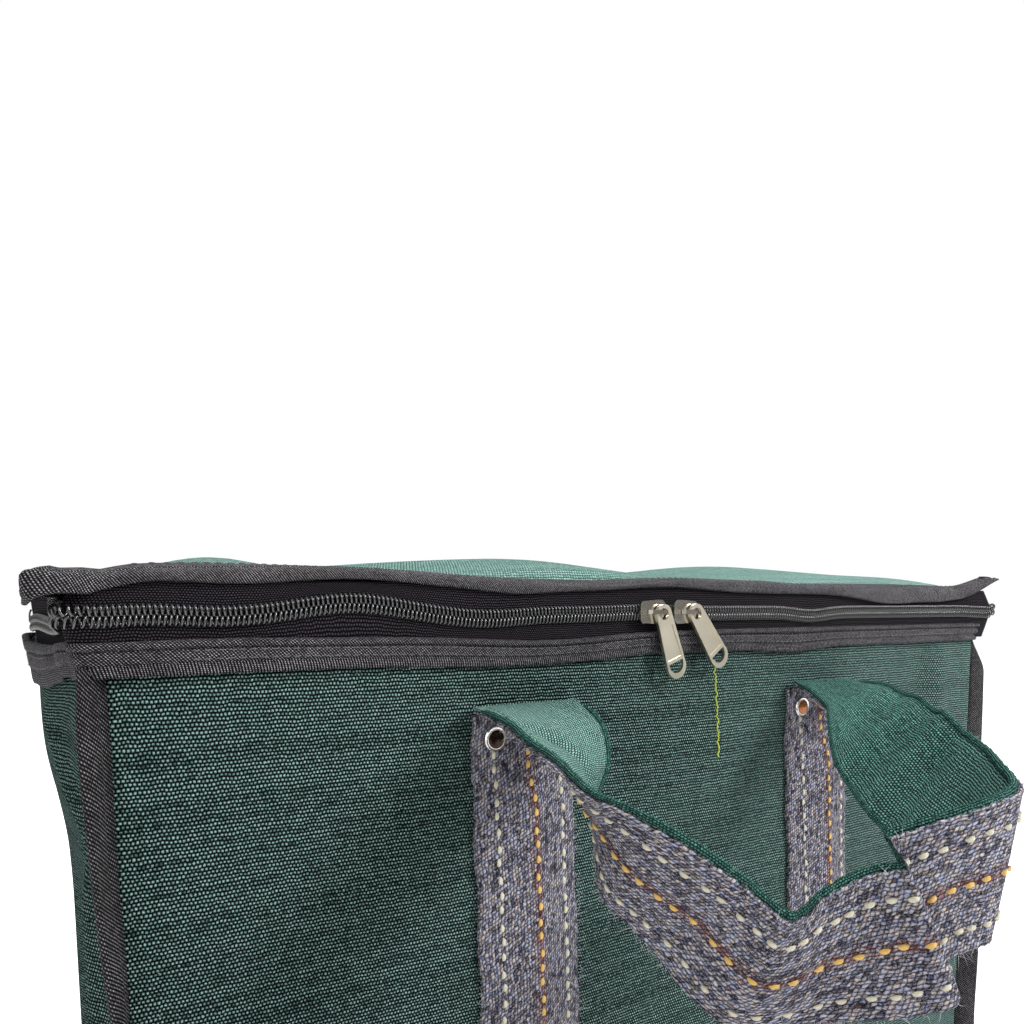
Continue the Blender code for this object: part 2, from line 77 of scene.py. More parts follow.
def lamp(name, place, aim, size, level):
    """A square softbox. Level is the light that it adds to a white card held square to it."""
    light = bpy.data.lights.new(name, "AREA")
    light.shape = "SQUARE"
    light.size = size
    ob = bpy.data.objects.new(name, light)
    scene.collection.objects.link(ob)
    ob.location = place
    ob.rotation_euler = (Vector(aim) - Vector(place)).to_track_quat("-Z", "Y").to_euler()
    light.energy = level * math.pi ** 2 * (Vector(aim) - Vector(place)).length_squared
    return ob


lamp("key", (1.15, -1.50, 1.45), (0.0, 0.0, 0.20), 0.8, 0.85)
lamp("side", (-1.60, -0.90, 0.90), (0.0, 0.0, 0.18), 1.2, 0.22)
lamp("top", (0.15, 0.25, 2.10), (0.0, 0.0, 0.25), 1.0, 0.80)


def put(tree, value, socket):
    if isinstance(value, (int, float)):
        socket.default_value = value
    else:
        tree.links.new(value, socket)


def calc(tree, how, a, b=None, c=None):
    """One Math node, fed with numbers or sockets."""
    node = tree.nodes.new("ShaderNodeMath")
    node.operation = how
    for k, value in enumerate((a, b, c)):
        if value is not None:
            put(tree, value, node.inputs[k])
    return node.outputs[0]


def split(tree, vector):
    node = tree.nodes.new("ShaderNodeSeparateXYZ")
    tree.links.new(vector, node.inputs[0])
    return node.outputs


def distance(tree, vector):
    node = tree.nodes.new("ShaderNodeVectorMath")
    node.operation = "LENGTH"
    tree.links.new(vector, node.inputs[0])
    return node.outputs["Value"]


def own_place(tree, kind="Object"):
    return tree.nodes.new("ShaderNodeTexCoord").outputs[kind]


def remap(tree, value, low, high, to_low, to_high):
    """Carries low to high over to to_low to to_high, and no further."""
    node = tree.nodes.new("ShaderNodeMapRange")
    for key, part in (("Value", value), ("From Min", low), ("From Max", high), ("To Min", to_low), ("To Max", to_high)):
        put(tree, part, node.inputs[key])
    return node.outputs[0]


sky = bpy.data.worlds.new("sky")
scene.world = sky
sky.use_nodes = True
tree = sky.node_tree
seen = tree.nodes.new("ShaderNodeLightPath")
shown = calc(tree, "MAXIMUM", seen.outputs["Is Camera Ray"], seen.outputs["Is Transmission Ray"])
dusk = remap(tree, split(tree, own_place(tree, "Generated"))["Z"], -0.10, 0.75, 0.10, 0.62)
tree.nodes["Background"].inputs["Color"].default_value = (1, 1, 1, 1)
put(tree, remap(tree, shown, 0.0, 1.0, dusk, 1.0), tree.nodes["Background"].inputs["Strength"])


def new_material(name, colour, rough, metal=0.0, **more):
    """A material with one Principled shader. Further sockets go by name, with _ for a space."""
    mat = bpy.data.materials.new(name)
    mat.use_nodes = True
    shader = mat.node_tree.nodes["Principled BSDF"]
    shader.inputs["Base Color"].default_value = (*colour, 1)
    shader.inputs["Roughness"].default_value = rough
    shader.inputs["Metallic"].default_value = metal
    for key, value in more.items():
        shader.inputs[key.replace("_", " ")].default_value = value
    return mat, mat.node_tree, shader


floor_mat, tree, shader = new_material("floor", (0.82, 0.82, 0.82), 0.8)
fade = remap(tree, distance(tree, own_place(tree)), 0.30, 0.85, 0.40, 1.0)
seen = tree.nodes.new("ShaderNodeLightPath").outputs["Is Camera Ray"]
shader.inputs["Emission Color"].default_value = (1, 1, 1, 1)
put(tree, calc(tree, "MULTIPLY", seen, fade), shader.inputs["Emission Strength"])
mesh = bpy.data.meshes.new("floor")
mesh.from_pydata([(-6, -6, -0.0004), (6, -6, -0.0004), (6, 6, -0.0004), (-6, 6, -0.0004)], [], [(0, 1, 2, 3)])
mesh.materials.append(floor_mat)
floor = bpy.data.objects.new("floor", mesh)
scene.collection.objects.link(floor)

# ------------------------------------------------------------------ canvas walls
# Four panels of coarse bottle-green cotton duck, sewn edge to edge at the corners. Each is one heavy layer
# that stands by itself and slackens between its seams: the ends are sucked in, the front swells a little.
front_low, front_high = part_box("front_panel")
HALF_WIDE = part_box("base_panel")[1].x
HALF_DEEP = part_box("base_panel")[1].y
ROUND = 0.004
WALL_LOW, WALL_HIGH = front_low.z, front_high.z
CANVAS = 0.0018
WALL_ROWS = 100
rng = np.random.default_rng(7)


def bump(x, at, wide):
    return np.exp(-(((x - at) / wide) ** 2))


def unit(rows):
    return rows / np.linalg.norm(rows, axis=-1, keepdims=True)


def ramp(x, low, high):
    """0 below low, 1 above high, smooth between. Works either way round."""
    t = np.clip((x - low) / (high - low), 0, 1)
    return t * t * (3 - 2 * t)


def ring(step=0.004, arc=9):
    """The plan of the bag from the middle of the back, past the left end, the front and the right end.

    Returns points and outward directions."""
    cx, cy = HALF_WIDE - ROUND, HALF_DEEP - ROUND
    pts, outs = [], []

    def straight(a, b, out):
        for t in np.linspace(0, 1, max(2, int(math.dist(a, b) / step)), endpoint=False)[1:]:
            pts.append((a[0] + (b[0] - a[0]) * t, a[1] + (b[1] - a[1]) * t))
            outs.append(out)

    def corner(x, y, start):
        for a in np.radians(np.linspace(start, start + 90, arc)):
            pts.append((x + ROUND * math.cos(a), y + ROUND * math.sin(a)))
            outs.append((math.cos(a), math.sin(a)))

    pts.append((0, HALF_DEEP))
    outs.append((0, 1))
    straight((0, HALF_DEEP), (-cx, HALF_DEEP), (0, 1))
    corner(-cx, cy, 90)
    straight((-HALF_WIDE, cy), (-HALF_WIDE, -cy), (-1, 0))
    corner(-cx, -cy, 180)
    straight((-cx, -HALF_DEEP), (cx, -HALF_DEEP), (0, -1))
    corner(cx, -cy, 270)
    straight((HALF_WIDE, -cy), (HALF_WIDE, cy), (1, 0))
    corner(cx, cy, 0)
    straight((cx, HALF_DEEP), (0, HALF_DEEP), (0, 1))
    return np.array(pts), np.array(outs, float)


def splay(x, y, z):
    """The far half of the left end stands out at the mouth, where the bag has been pulled open."""
    high = 0.0042 * ramp(z, 0.215, 0.275) + 0.0050 * np.clip((z - 0.285) / 0.055, 0, 1) ** 2
    return -high * (x < 0) * ramp(y, -0.060, 0.055) * ramp(np.abs(x), 0.195, HALF_WIDE)


def drag(x, y, z):
    """The far corners are dragged inward below the mouth, and the near ones are pushed out a little."""
    level = ramp(z, 0.300, 0.190) * ramp(z, 0.010, 0.100)
    far = -0.0045 * ramp(np.abs(x), 0.150, HALF_WIDE) * ramp(y, -0.060, HALF_DEEP)
    near = 0.0020 * ramp(np.abs(x), 0.205, HALF_WIDE) * ramp(y, -0.050, -HALF_DEEP)
    return np.sign(x) * (far * level + near * ramp(z, 0.010, 0.060)) + splay(x, y, z)


LID_SPLAY = 0.6   # share of that which the zip, the lid and the hinge follow


def sag(x, y):
    """Where the mouth dips: along the far half of the left end."""
    return (x < -HALF_WIDE + ROUND) * ramp(y, -0.040, 0.045) * ramp(y, HALF_DEEP - 0.001, HALF_DEEP - 0.016)


def slack(x, y, z):
    """How the canvas stands away from a flat wall: a shift in x and y for points on any of the walls."""
    side = ramp(np.abs(x), HALF_WIDE - 0.030, HALF_WIDE - 0.004) * ramp(np.abs(y), HALF_DEEP, HALF_DEEP - 0.016)
    face = ramp(np.abs(x), HALF_WIDE - 0.002, HALF_WIDE - 0.040) * ramp(np.abs(y), 0.060, 0.080)
    free = ramp(z, 0.012, 0.060) * ramp(z, WALL_HIGH - 0.002, WALL_HIGH - 0.030)
    by_rivet = 1 - np.maximum(bump(x, -0.091, 0.040), bump(x, 0.091, 0.040)) * bump(z, 0.283, 0.035)
    swell = 0.0030 * ramp(z, 0.27, 0.16) * ramp(z, 0.01, 0.10)
    swell = swell + 0.0022 * bump(x, 0.015, 0.045) * bump(z, 0.265, 0.050)
    swell = swell - 0.0018 * bump(x, -0.045, 0.020) * bump(z, 0.250, 0.060)
    swell = swell - 0.0016 * bump(x, 0.048, 0.016) * bump(z, 0.255, 0.060)
    swell = swell + 0.0016 * np.sin(x * 38 + z * 9 + 0.6) * np.sin(z * 21 + 1.0)
    swell = swell + 0.0046 * bump(x + (0.31 - z) * 0.10, 0.208, 0.0080) * ramp(z, 0.205, 0.285)
    swell = swell - 0.0044 * bump(x + (0.31 - z) * 0.10, 0.190, 0.0095) * ramp(z, 0.195, 0.290)
    swell = swell - 0.0030 * bump(x, 0.225, 0.0080) * ramp(z, 0.180, 0.280)
    swell = swell + 0.0012 * bump(x + (z - 0.31) * 0.15, -0.150, 0.012) * ramp(z, 0.200, 0.290)
    swell = swell - 0.0010 * bump(x + (z - 0.31) * 0.10, -0.200, 0.010) * ramp(z, 0.200, 0.290)
    dy = np.sign(y) * face * free * by_rivet * swell
    sunk = -0.0040 * ramp(z, 0.290, 0.170) * ramp(y, -0.060, 0.060) * ramp(z, 0.020, 0.110)
    sunk = sunk + 0.0040 * bump(y, -0.062 - (z - 0.20) * 0.12, 0.0120) * ramp(z, 0.286, 0.225)
    sunk = sunk - 0.0026 * bump(y, -0.036 + (0.2 - z) * 0.08, 0.015) * ramp(z, 0.300, 0.235)
    sunk = sunk + 0.0030 * bump(y, 0.020, 0.050) * bump(z, 0.27, 0.06)
    sunk = sunk + 0.0014 * np.sin(y * 60 + z * 13) * bump(z, 0.18, 0.10)
    sunk = sunk + 0.0036 * bump(y, -0.048, 0.024) * bump(z, 0.288, 0.030) * (x < 0)
    crest = -0.060 + 0.080 * ramp(z, 0.232, 0.300)
    sunk = sunk + 0.0042 * bump(y, crest, 0.0095) * ramp(z, 0.306, 0.288) * ramp(z, 0.120, 0.200) * (x < 0)
    dx = np.sign(x) * side * free * sunk + drag(x, y, z)
    return dx, dy


def add_piece(name, verts, faces, corner_uv, mat, body, stands_for=(), slot=None, smooth=True):
    """Makes a mesh of the given corners, lays its pattern in metres, and fixes it to a body."""
    mesh = bpy.data.meshes.new(name)
    mesh.from_pydata(np.asarray(verts).tolist(), [], faces)
    if corner_uv is not None:
        layer = mesh.uv_layers.new(name="Lay")
        layer.data.foreach_set("uv", np.asarray(corner_uv, np.float32).ravel())
    mesh.polygons.foreach_set("use_smooth", [smooth] * len(mesh.polygons))
    mesh.calc_loop_triangles()
    tri = np.empty(len(mesh.loop_triangles) * 3, np.int32)
    mesh.loop_triangles.foreach_get("vertices", tri)
    a, b, c = np.asarray(verts, float).reshape(-1, 3)[tri.reshape(-1, 3)].transpose(1, 0, 2)
    if (a * np.cross(b, c)).sum() < 0:
        mesh.flip_normals()
    mesh.materials.append(mat)
    ob = bpy.data.objects.new(name, mesh)
    scene.collection.objects.link(ob)
    if body:
        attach(ob, body)
    if stands_for:
        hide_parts(*stands_for)
    return ob


def skin(name, points, loop_run, loop_section, mat, body, stands_for=(), slot=None, turn=False, flip=False):
    """Skins a grid of points: rows run along the piece, columns round its section. Open runs are capped.

    The pattern's U runs along the piece and V round the section, both in metres (turn swaps them)."""
    points = np.asarray(points)
    n, m = points.shape[:2]
    run = np.linalg.norm(np.diff(np.concatenate([points, points[:1]]), axis=0), axis=2).mean(1)
    u = np.concatenate([[0], np.cumsum(run)])
    around = np.linalg.norm(np.diff(np.concatenate([points, points[:, :1]], 1), axis=1), axis=2).mean(0)
    v = np.concatenate([[0], np.cumsum(around)])
    i, j = np.meshgrid(np.arange(n if loop_run else n - 1), np.arange(m if loop_section else m - 1), indexing="ij")
    i, j = i.ravel(), j.ravel()
    corners = [(i, j), (i + 1, j), (i + 1, j + 1), (i, j + 1)]
    if flip:
        corners = corners[::-1]
    faces = np.stack([(a % n) * m + b % m for a, b in corners], 1)
    uv = np.stack([np.stack([u[a], v[b]], 1) for a, b in corners], 1)
    faces = faces.tolist()
    uv = uv.reshape(-1, 2)
    if loop_section and not loop_run:
        ends = [list(range(m))[::1 if flip else -1], [(n - 1) * m + k for k in range(m)][::-1 if flip else 1]]
        for end in ends:
            faces.append(end)
            flat = points.reshape(-1, 3)[end]
            uv = np.vstack([uv, np.stack([np.linalg.norm(flat - flat[0], axis=1), flat[:, 2] * 0], 1)])
    if turn:
        uv = uv[:, ::-1]
    return add_piece(name, points.reshape(-1, 3), faces, uv, mat, body, stands_for, slot)


# ---- materials of cloth: each weave is a node group that reads the pattern laid on a piece
def new_group(name, inputs, outputs):
    """A shader node group. Inputs are (name, type, value) and outputs (name, type)."""
    group = bpy.data.node_groups.new(name, "ShaderNodeTree")
    for label, kind, value in inputs:
        socket = group.interface.new_socket(name=label, in_out="INPUT", socket_type=kind)
        if value is not None:
            socket.default_value = value
    for label, kind in outputs:
        group.interface.new_socket(name=label, in_out="OUTPUT", socket_type=kind)
    return group, group.nodes.new("NodeGroupInput"), group.nodes.new("NodeGroupOutput")


def join(tree, x, y, z=0.0):
    node = tree.nodes.new("ShaderNodeCombineXYZ")
    for k, value in enumerate((x, y, z)):
        put(tree, value, node.inputs[k])
    return node.outputs[0]


def noise(tree, place, scale, detail=2.0, rough=0.5, colour=False):
    node = tree.nodes.new("ShaderNodeTexNoise")
    tree.links.new(place, node.inputs["Vector"])
    put(tree, scale, node.inputs["Scale"])
    node.inputs["Detail"].default_value = detail
    node.inputs["Roughness"].default_value = rough
    return node.outputs["Color" if colour else "Fac"]


def dice(tree, place):
    node = tree.nodes.new("ShaderNodeTexWhiteNoise")
    tree.links.new(place, node.inputs["Vector"])
    return node.outputs["Value"]


def blend_colour(tree, share, a, b, how="MIX"):
    node = tree.nodes.new("ShaderNodeMix")
    node.data_type = "RGBA"
    node.blend_type = how
    put(tree, share, node.inputs[0])
    for value, socket in ((a, node.inputs[6]), (b, node.inputs[7])):
        if isinstance(value, tuple):
            socket.default_value = (*value, 1)
        else:
            tree.links.new(value, socket)
    return node.outputs[2]


FLOAT, VECTOR = "NodeSocketFloat", "NodeSocketVector"

plain_weave, ins, outs = new_group(
    "Plain weave",
    [("Lay", VECTOR, None), ("Warp pitch", FLOAT, 0.0006), ("Weft pitch", FLOAT, 0.0009), ("Slub", FLOAT, 0.5)],
    [("Height", FLOAT), ("Yarn", FLOAT), ("Hollow", FLOAT)])
t = plain_weave
parts = split(t, ins.outputs["Lay"])
drift = split(t, noise(t, ins.outputs["Lay"], 260.0, 2.0, 0.6, True))


def yarn_place(axis, pitch):
    away = calc(t, "MULTIPLY", calc(t, "SUBTRACT", drift[axis], 0.5), ins.outputs["Slub"])
    return calc(t, "ADD", calc(t, "DIVIDE", parts[axis], ins.outputs[pitch]), calc(t, "MULTIPLY", away, 2.2))


u, v = yarn_place(0, "Warp pitch"), yarn_place(1, "Weft pitch")
cell_u, cell_v = calc(t, "FLOOR", u), calc(t, "FLOOR", v)
off_v = calc(t, "MULTIPLY", calc(t, "SUBTRACT", calc(t, "SUBTRACT", v, cell_v), 0.5), 2.0)
half = calc(t, "FLOORED_MODULO", cell_v, 2.0)
float_u = calc(t, "SUBTRACT", calc(t, "FLOORED_MODULO", calc(t, "ADD", u, half), 2.0), 1.0)
float_cell = calc(t, "FLOOR", calc(t, "DIVIDE", calc(t, "ADD", u, half), 2.0))
arch_u = calc(t, "SUBTRACT", 1.0, calc(t, "POWER", calc(t, "ABSOLUTE", float_u), 2.4))
arch_v = calc(t, "SUBTRACT", 1.0, calc(t, "MULTIPLY", off_v, off_v))
lie = calc(t, "POWER", calc(t, "MAXIMUM", calc(t, "MULTIPLY", arch_u, arch_v), 0.0), 0.7)
thick_weft = dice(t, join(t, 0.0, cell_v, 3.0))
long_weft = noise(t, join(t, calc(t, "MULTIPLY", u, 0.06), cell_v, 0.0), 1.0, 2.0)
long_warp = noise(t, join(t, cell_u, calc(t, "MULTIPLY", v, 0.06), 7.0), 1.0, 2.0)
yarn = calc(t, "MULTIPLY_ADD", long_warp, 0.3, calc(t, "MULTIPLY", long_weft, 0.4))
yarn = calc(t, "MULTIPLY_ADD", thick_weft, 0.3, yarn)
each = dice(t, join(t, float_cell, cell_v, 1.0))
yarn = calc(t, "MULTIPLY_ADD", each, 0.35, calc(t, "MULTIPLY", yarn, 0.65))
t.links.new(lie, outs.inputs["Height"])
t.links.new(yarn, outs.inputs["Yarn"])
t.links.new(calc(t, "SUBTRACT", 1.0, calc(t, "MINIMUM", calc(t, "MULTIPLY", lie, 1.7), 1.0)), outs.inputs["Hollow"])

lint, ins, outs = new_group(
    "Lint", [("Lay", VECTOR, None), ("Spacing", FLOAT, 0.004), ("Share", FLOAT, 0.2)], [("Speck", FLOAT)])
t = lint
cells = t.nodes.new("ShaderNodeTexVoronoi")
scaled = t.nodes.new("ShaderNodeVectorMath")
scaled.operation = "SCALE"
t.links.new(ins.outputs["Lay"], scaled.inputs[0])
t.links.new(calc(t, "DIVIDE", 1.0, ins.outputs["Spacing"]), scaled.inputs["Scale"])
t.links.new(scaled.outputs[0], cells.inputs["Vector"])
cells.inputs["Scale"].default_value = 1.0
small = calc(t, "LESS_THAN", cells.outputs["Distance"], 0.085)
kept = calc(t, "LESS_THAN", split(t, cells.outputs["Color"])[0], ins.outputs["Share"])
t.links.new(calc(t, "MULTIPLY", small, kept), outs.inputs["Speck"])


def lay_of(tree):
    node = tree.nodes.new("ShaderNodeUVMap")
    node.uv_map = "Lay"
    return node.outputs["UV"]


def use(tree, group, **values):
    node = tree.nodes.new("ShaderNodeGroup")
    node.node_tree = group
    for key, value in values.items():
        put(tree, value, node.inputs[key.replace("_", " ")])
    return node


def relief(tree, shader, height, depth, strength=1.0):
    node = tree.nodes.new("ShaderNodeBump")
    node.inputs["Distance"].default_value = depth
    node.inputs["Strength"].default_value = strength
    tree.links.new(height, node.inputs["Height"])
    tree.links.new(node.outputs[0], shader.inputs["Normal"])


def canvas_material(name, dark, light, faded_and_lit, warp=0.00064, weft=0.00130, fade=0.3, deep=4.2, across=4.5):
    """Cotton duck: pale crowns of fat yarns, near-black gaps, blotchy uneven fading scaled by a painted-light slope
    along x (across), a little lint.
    """
    mat, tree, shader = new_material(name, light, 0.95)
    shader.inputs["Specular IOR Level"].default_value = 0.02
    lay = lay_of(tree)
    weave = use(tree, plain_weave, Lay=lay, Warp_pitch=warp, Weft_pitch=weft, Slub=0.45)
    coat = own_place(tree)
    worn = noise(tree, coat, 9.0, 3.0, 0.55)
    patch = noise(tree, coat, 60.0, 4.0, 0.6)
    fluff = noise(tree, lay, 1500.0, 3.0, 0.75)
    rise = calc(tree, "MULTIPLY", calc(tree, "POWER", weave.outputs["Height"], deep),
                calc(tree, "MULTIPLY_ADD", weave.outputs["Yarn"], 2.3, calc(tree, "MULTIPLY_ADD", fluff, 2.8, -1.65)))
    rise = calc(tree, "MAXIMUM", rise, 0.0)
    body = blend_colour(tree, rise, dark, light)
    # Partly real fading, partly painted light: random blotches (worn, patch) lighten the crowns toward the faded
    # colour, and a straight slope along x (across) makes them stronger on the side that faces the lamps.
    fade_and_painted_light = calc(tree, "MULTIPLY", calc(tree, "MULTIPLY_ADD", worn, 1.2, calc(tree, "MULTIPLY", patch, 0.5)), fade)
    painted_light_slope = calc(tree, "MAXIMUM", calc(tree, "MULTIPLY_ADD", split(tree, coat)[0], across, 0.35), 0.08)
    fade_and_painted_light = calc(tree, "MINIMUM", calc(tree, "MULTIPLY", fade_and_painted_light, painted_light_slope), 0.8)
    body = blend_colour(tree, calc(tree, "MULTIPLY", fade_and_painted_light, weave.outputs["Height"]), body, faded_and_lit)
    gap = tuple(c * 0.12 for c in dark)
    body = blend_colour(tree, calc(tree, "MULTIPLY", weave.outputs["Hollow"], 0.95), body, gap)
    specks = use(tree, lint, Lay=lay, Spacing=0.0030, Share=0.22)
    body = blend_colour(tree, calc(tree, "MULTIPLY", specks.outputs["Speck"], 0.75), body, (0.52, 0.60, 0.55))
    tree.links.new(body, shader.inputs["Base Color"])
    height = calc(tree, "MULTIPLY_ADD", fluff, 0.25, weave.outputs["Height"])
    relief(tree, shader, height, 0.0011)
    return mat


# The walls are painted lighter toward +X by that slope: painted light from the key lamp on the right.
canvas = canvas_material("bottle_green_canvas", (0.002, 0.010, 0.009), (0.285, 0.450, 0.410), (0.27, 0.42, 0.38),
                         fade=0.40)

pts, outs_xy = ring(0.003)
heights = np.linspace(WALL_LOW, WALL_HIGH, WALL_ROWS)
heights = np.concatenate([heights, np.linspace(WALL_HIGH, WALL_LOW, WALL_ROWS)])
inward = np.concatenate([np.zeros(WALL_ROWS), np.full(WALL_ROWS, CANVAS)])
x = pts[:, None, 0] - outs_xy[:, None, 0] * inward
y = pts[:, None, 1] - outs_xy[:, None, 1] * inward
z = np.broadcast_to(heights, x.shape)
dx, dy = slack(x, y, z)
z = z - 0.0056 * sag(x, y) * ramp(z, 0.270, WALL_HIGH)
walls = skin("canvas_walls", np.stack([x + dx, y + dy, z], 2), True, True, canvas, "bag",
             ("front_panel", "back_panel", "left_gusset", "right_gusset"), "canvas")

# ------------------------------------------------------------------ base
# A flat panel of the same canvas, its seam to the walls bound with black tape that stands out as a lip
# round the foot. A loose plastic board lies on it to keep it flat.
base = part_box("base_panel")


def sheet_points(wide, deep, round_r, nx, ny):
    """A grid over the plan of the bag whose border follows the rounded corners."""
    a, b = np.meshgrid(np.linspace(-1, 1, nx), np.linspace(-1, 1, ny), indexing="ij")
    p = np.stack([a * wide, b * deep], 2)
    core = np.array([wide - round_r, deep - round_r])
    q = p - np.clip(p, -core, core)
    size = np.linalg.norm(q, axis=2, keepdims=True)
    square = np.abs(q).max(2, keepdims=True)
    q = np.where(size > 0, q / np.maximum(size, 1e-9) * square, q)
    return np.clip(p, -core, core) + q


def slab(name, plan, low, high, mat, body, stands_for, slot):
    """A sheet with a top, an underside and a closed rim. Low and high are heights over the grid."""
    nx, ny = plan.shape[:2]
    top = np.dstack([plan, np.broadcast_to(high, (nx, ny))])
    under = np.dstack([plan, np.broadcast_to(low, (nx, ny))])
    verts = np.concatenate([top.reshape(-1, 3), under.reshape(-1, 3)])
    index = np.arange(nx * ny).reshape(nx, ny)
    quads = np.stack([index[:-1, :-1], index[1:, :-1], index[1:, 1:], index[:-1, 1:]], 2).reshape(-1, 4)
    edge = np.concatenate([index[:, 0], index[-1, 1:], index[-2::-1, -1], index[0, -2:0:-1]])
    after = np.roll(edge, -1)
    rim = np.stack([edge, edge + nx * ny, after + nx * ny, after], 1)
    faces = np.concatenate([quads, quads[:, ::-1] + nx * ny, rim])
    uv = verts[faces][:, :, :2]
    return add_piece(name, verts, faces.tolist(), uv.reshape(-1, 2), mat, body, stands_for, slot)


base_cloth = slab("base_canvas", sheet_points(HALF_WIDE, HALF_DEEP, ROUND, 61, 25), base[0].z, base[1].z, canvas, "bag",
                  ("base_panel",), "canvas")

tape_group, ins, outs = new_group(
    "Ribbed tape",
    [("Lay", VECTOR, None), ("Rib pitch", FLOAT, 0.0009), ("Slant", FLOAT, 0.25), ("Twill", FLOAT, 0.0)],
    [("Height", FLOAT), ("Yarn", FLOAT)])
t = tape_group
parts = split(t, ins.outputs["Lay"])
lean = calc(t, "MULTIPLY_ADD", parts[1], ins.outputs["Slant"], parts[0])
wob = calc(t, "MULTIPLY", noise(t, ins.outputs["Lay"], 420.0, 2.0), 0.00028)
rib = calc(t, "DIVIDE", calc(t, "ADD", lean, wob), ins.outputs["Rib pitch"])
cross = calc(t, "DIVIDE", parts[1], calc(t, "MULTIPLY", ins.outputs["Rib pitch"], 0.62))
twilled = calc(t, "MULTIPLY", ins.outputs["Twill"], 0.33)
cross = calc(t, "ADD", cross, calc(t, "MULTIPLY", calc(t, "FLOOR", rib), twilled))
wave_a = calc(t, "MULTIPLY_ADD", calc(t, "SINE", calc(t, "MULTIPLY", rib, 2 * math.pi)), 0.5, 0.5)
wave_b = calc(t, "MULTIPLY_ADD", calc(t, "SINE", calc(t, "MULTIPLY", cross, 2 * math.pi)), 0.5, 0.5)
height = calc(t, "MULTIPLY", calc(t, "POWER", wave_a, 0.8), calc(t, "MULTIPLY_ADD", wave_b, 0.55, 0.45))
each = dice(t, join(t, calc(t, "FLOOR", rib), calc(t, "FLOOR", cross), 0.0))
t.links.new(height, outs.inputs["Height"])
t.links.new(each, outs.inputs["Yarn"])


def tape_material(name, dark, light, pitch=0.0009, slant=0.25, twill=0.0, rough=0.62):
    """Woven binding tape: pale ribs on a near-black ground."""
    mat, tree, shader = new_material(name, light, rough)
    shader.inputs["Specular IOR Level"].default_value = 0.12
    lay = lay_of(tree)
    ribs = use(tree, tape_group, Lay=lay, Rib_pitch=pitch, Slant=slant, Twill=twill)
    dust = noise(tree, own_place(tree), 70.0, 3.0)
    share = calc(tree, "POWER", ribs.outputs["Height"], 3.1)
    share = calc(tree, "MULTIPLY", share, calc(tree, "MULTIPLY_ADD", ribs.outputs["Yarn"], 0.8, 0.45))
    share = calc(tree, "MULTIPLY", share, calc(tree, "MULTIPLY_ADD", dust, 0.9, 0.5))
    tree.links.new(blend_colour(tree, share, dark, light), shader.inputs["Base Color"])
    relief(tree, shader, ribs.outputs["Height"], 0.0008)
    return mat


BLACK = (0.0015, 0.001, 0.0015)
tape = tape_material("black_rib_tape", BLACK, (0.78, 0.74, 0.79), 0.0010)
twill = tape_material("black_twill_tape", BLACK, (0.74, 0.70, 0.75), 0.0011, 0.9, 1.0)
flange_tape = tape_material("black_basket_tape", BLACK, (0.50, 0.47, 0.50), 0.0013, 0.75, 1.0)
lid_twill = tape_material("lid_twill_tape", BLACK, (0.82, 0.78, 0.83), 0.00090, 0.6, 1.0)


def edge_run(section, body, name, mat, stands_for, slot, step=0.004, shift=None, turn=False):
    """Sweeps a section of (out, height) pairs right round the plan. Shift moves points as the cloth lies."""
    pts, outs_xy = ring(step)
    section = np.array(section)
    x = pts[:, None, 0] + outs_xy[:, None, 0] * section[:, 0]
    y = pts[:, None, 1] + outs_xy[:, None, 1] * section[:, 0]
    z = np.broadcast_to(section[:, 1], x.shape).copy()
    if shift:
        x, y, z = shift(x, y, z, pts, outs_xy)
    return skin(name, np.stack([x, y, z], 2), True, True, mat, body, stands_for, slot, turn)


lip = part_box("base_binding")
LIP = lip[1].x - HALF_WIDE
lip_mid, lip_half = (lip[0].z + lip[1].z) / 2, (lip[1].z - lip[0].z) / 2
section = [(0.0003, lip_mid - lip_half), (0.0003, lip_mid + lip_half)]
section += [(LIP * 0.35, lip_mid + lip_half), (LIP * 0.7, lip_mid + lip_half * 0.9)]
section += [(LIP - lip_half + lip_half * math.cos(a), lip_mid + lip_half * math.sin(a) * 0.9)
            for a in np.radians(np.linspace(70, -70, 6))]
section += [(LIP * 0.7, lip_mid - lip_half), (LIP * 0.35, lip_mid - lip_half)]
base_lip = edge_run(section[::-1], "bag", "base_lip", tape, ("base_binding",), "binding")
board_mat, tree, shader = new_material("board", (0.06, 0.06, 0.062), 0.7)
grain = noise(tree, own_place(tree), 300.0, 4.0)
tree.links.new(blend_colour(tree, grain, (0.035, 0.035, 0.037), (0.09, 0.09, 0.093)), shader.inputs["Base Color"])
relief(tree, shader, grain, 0.0002)
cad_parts["base_board"].data.materials.clear()
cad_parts["base_board"].data.materials.append(board_mat)

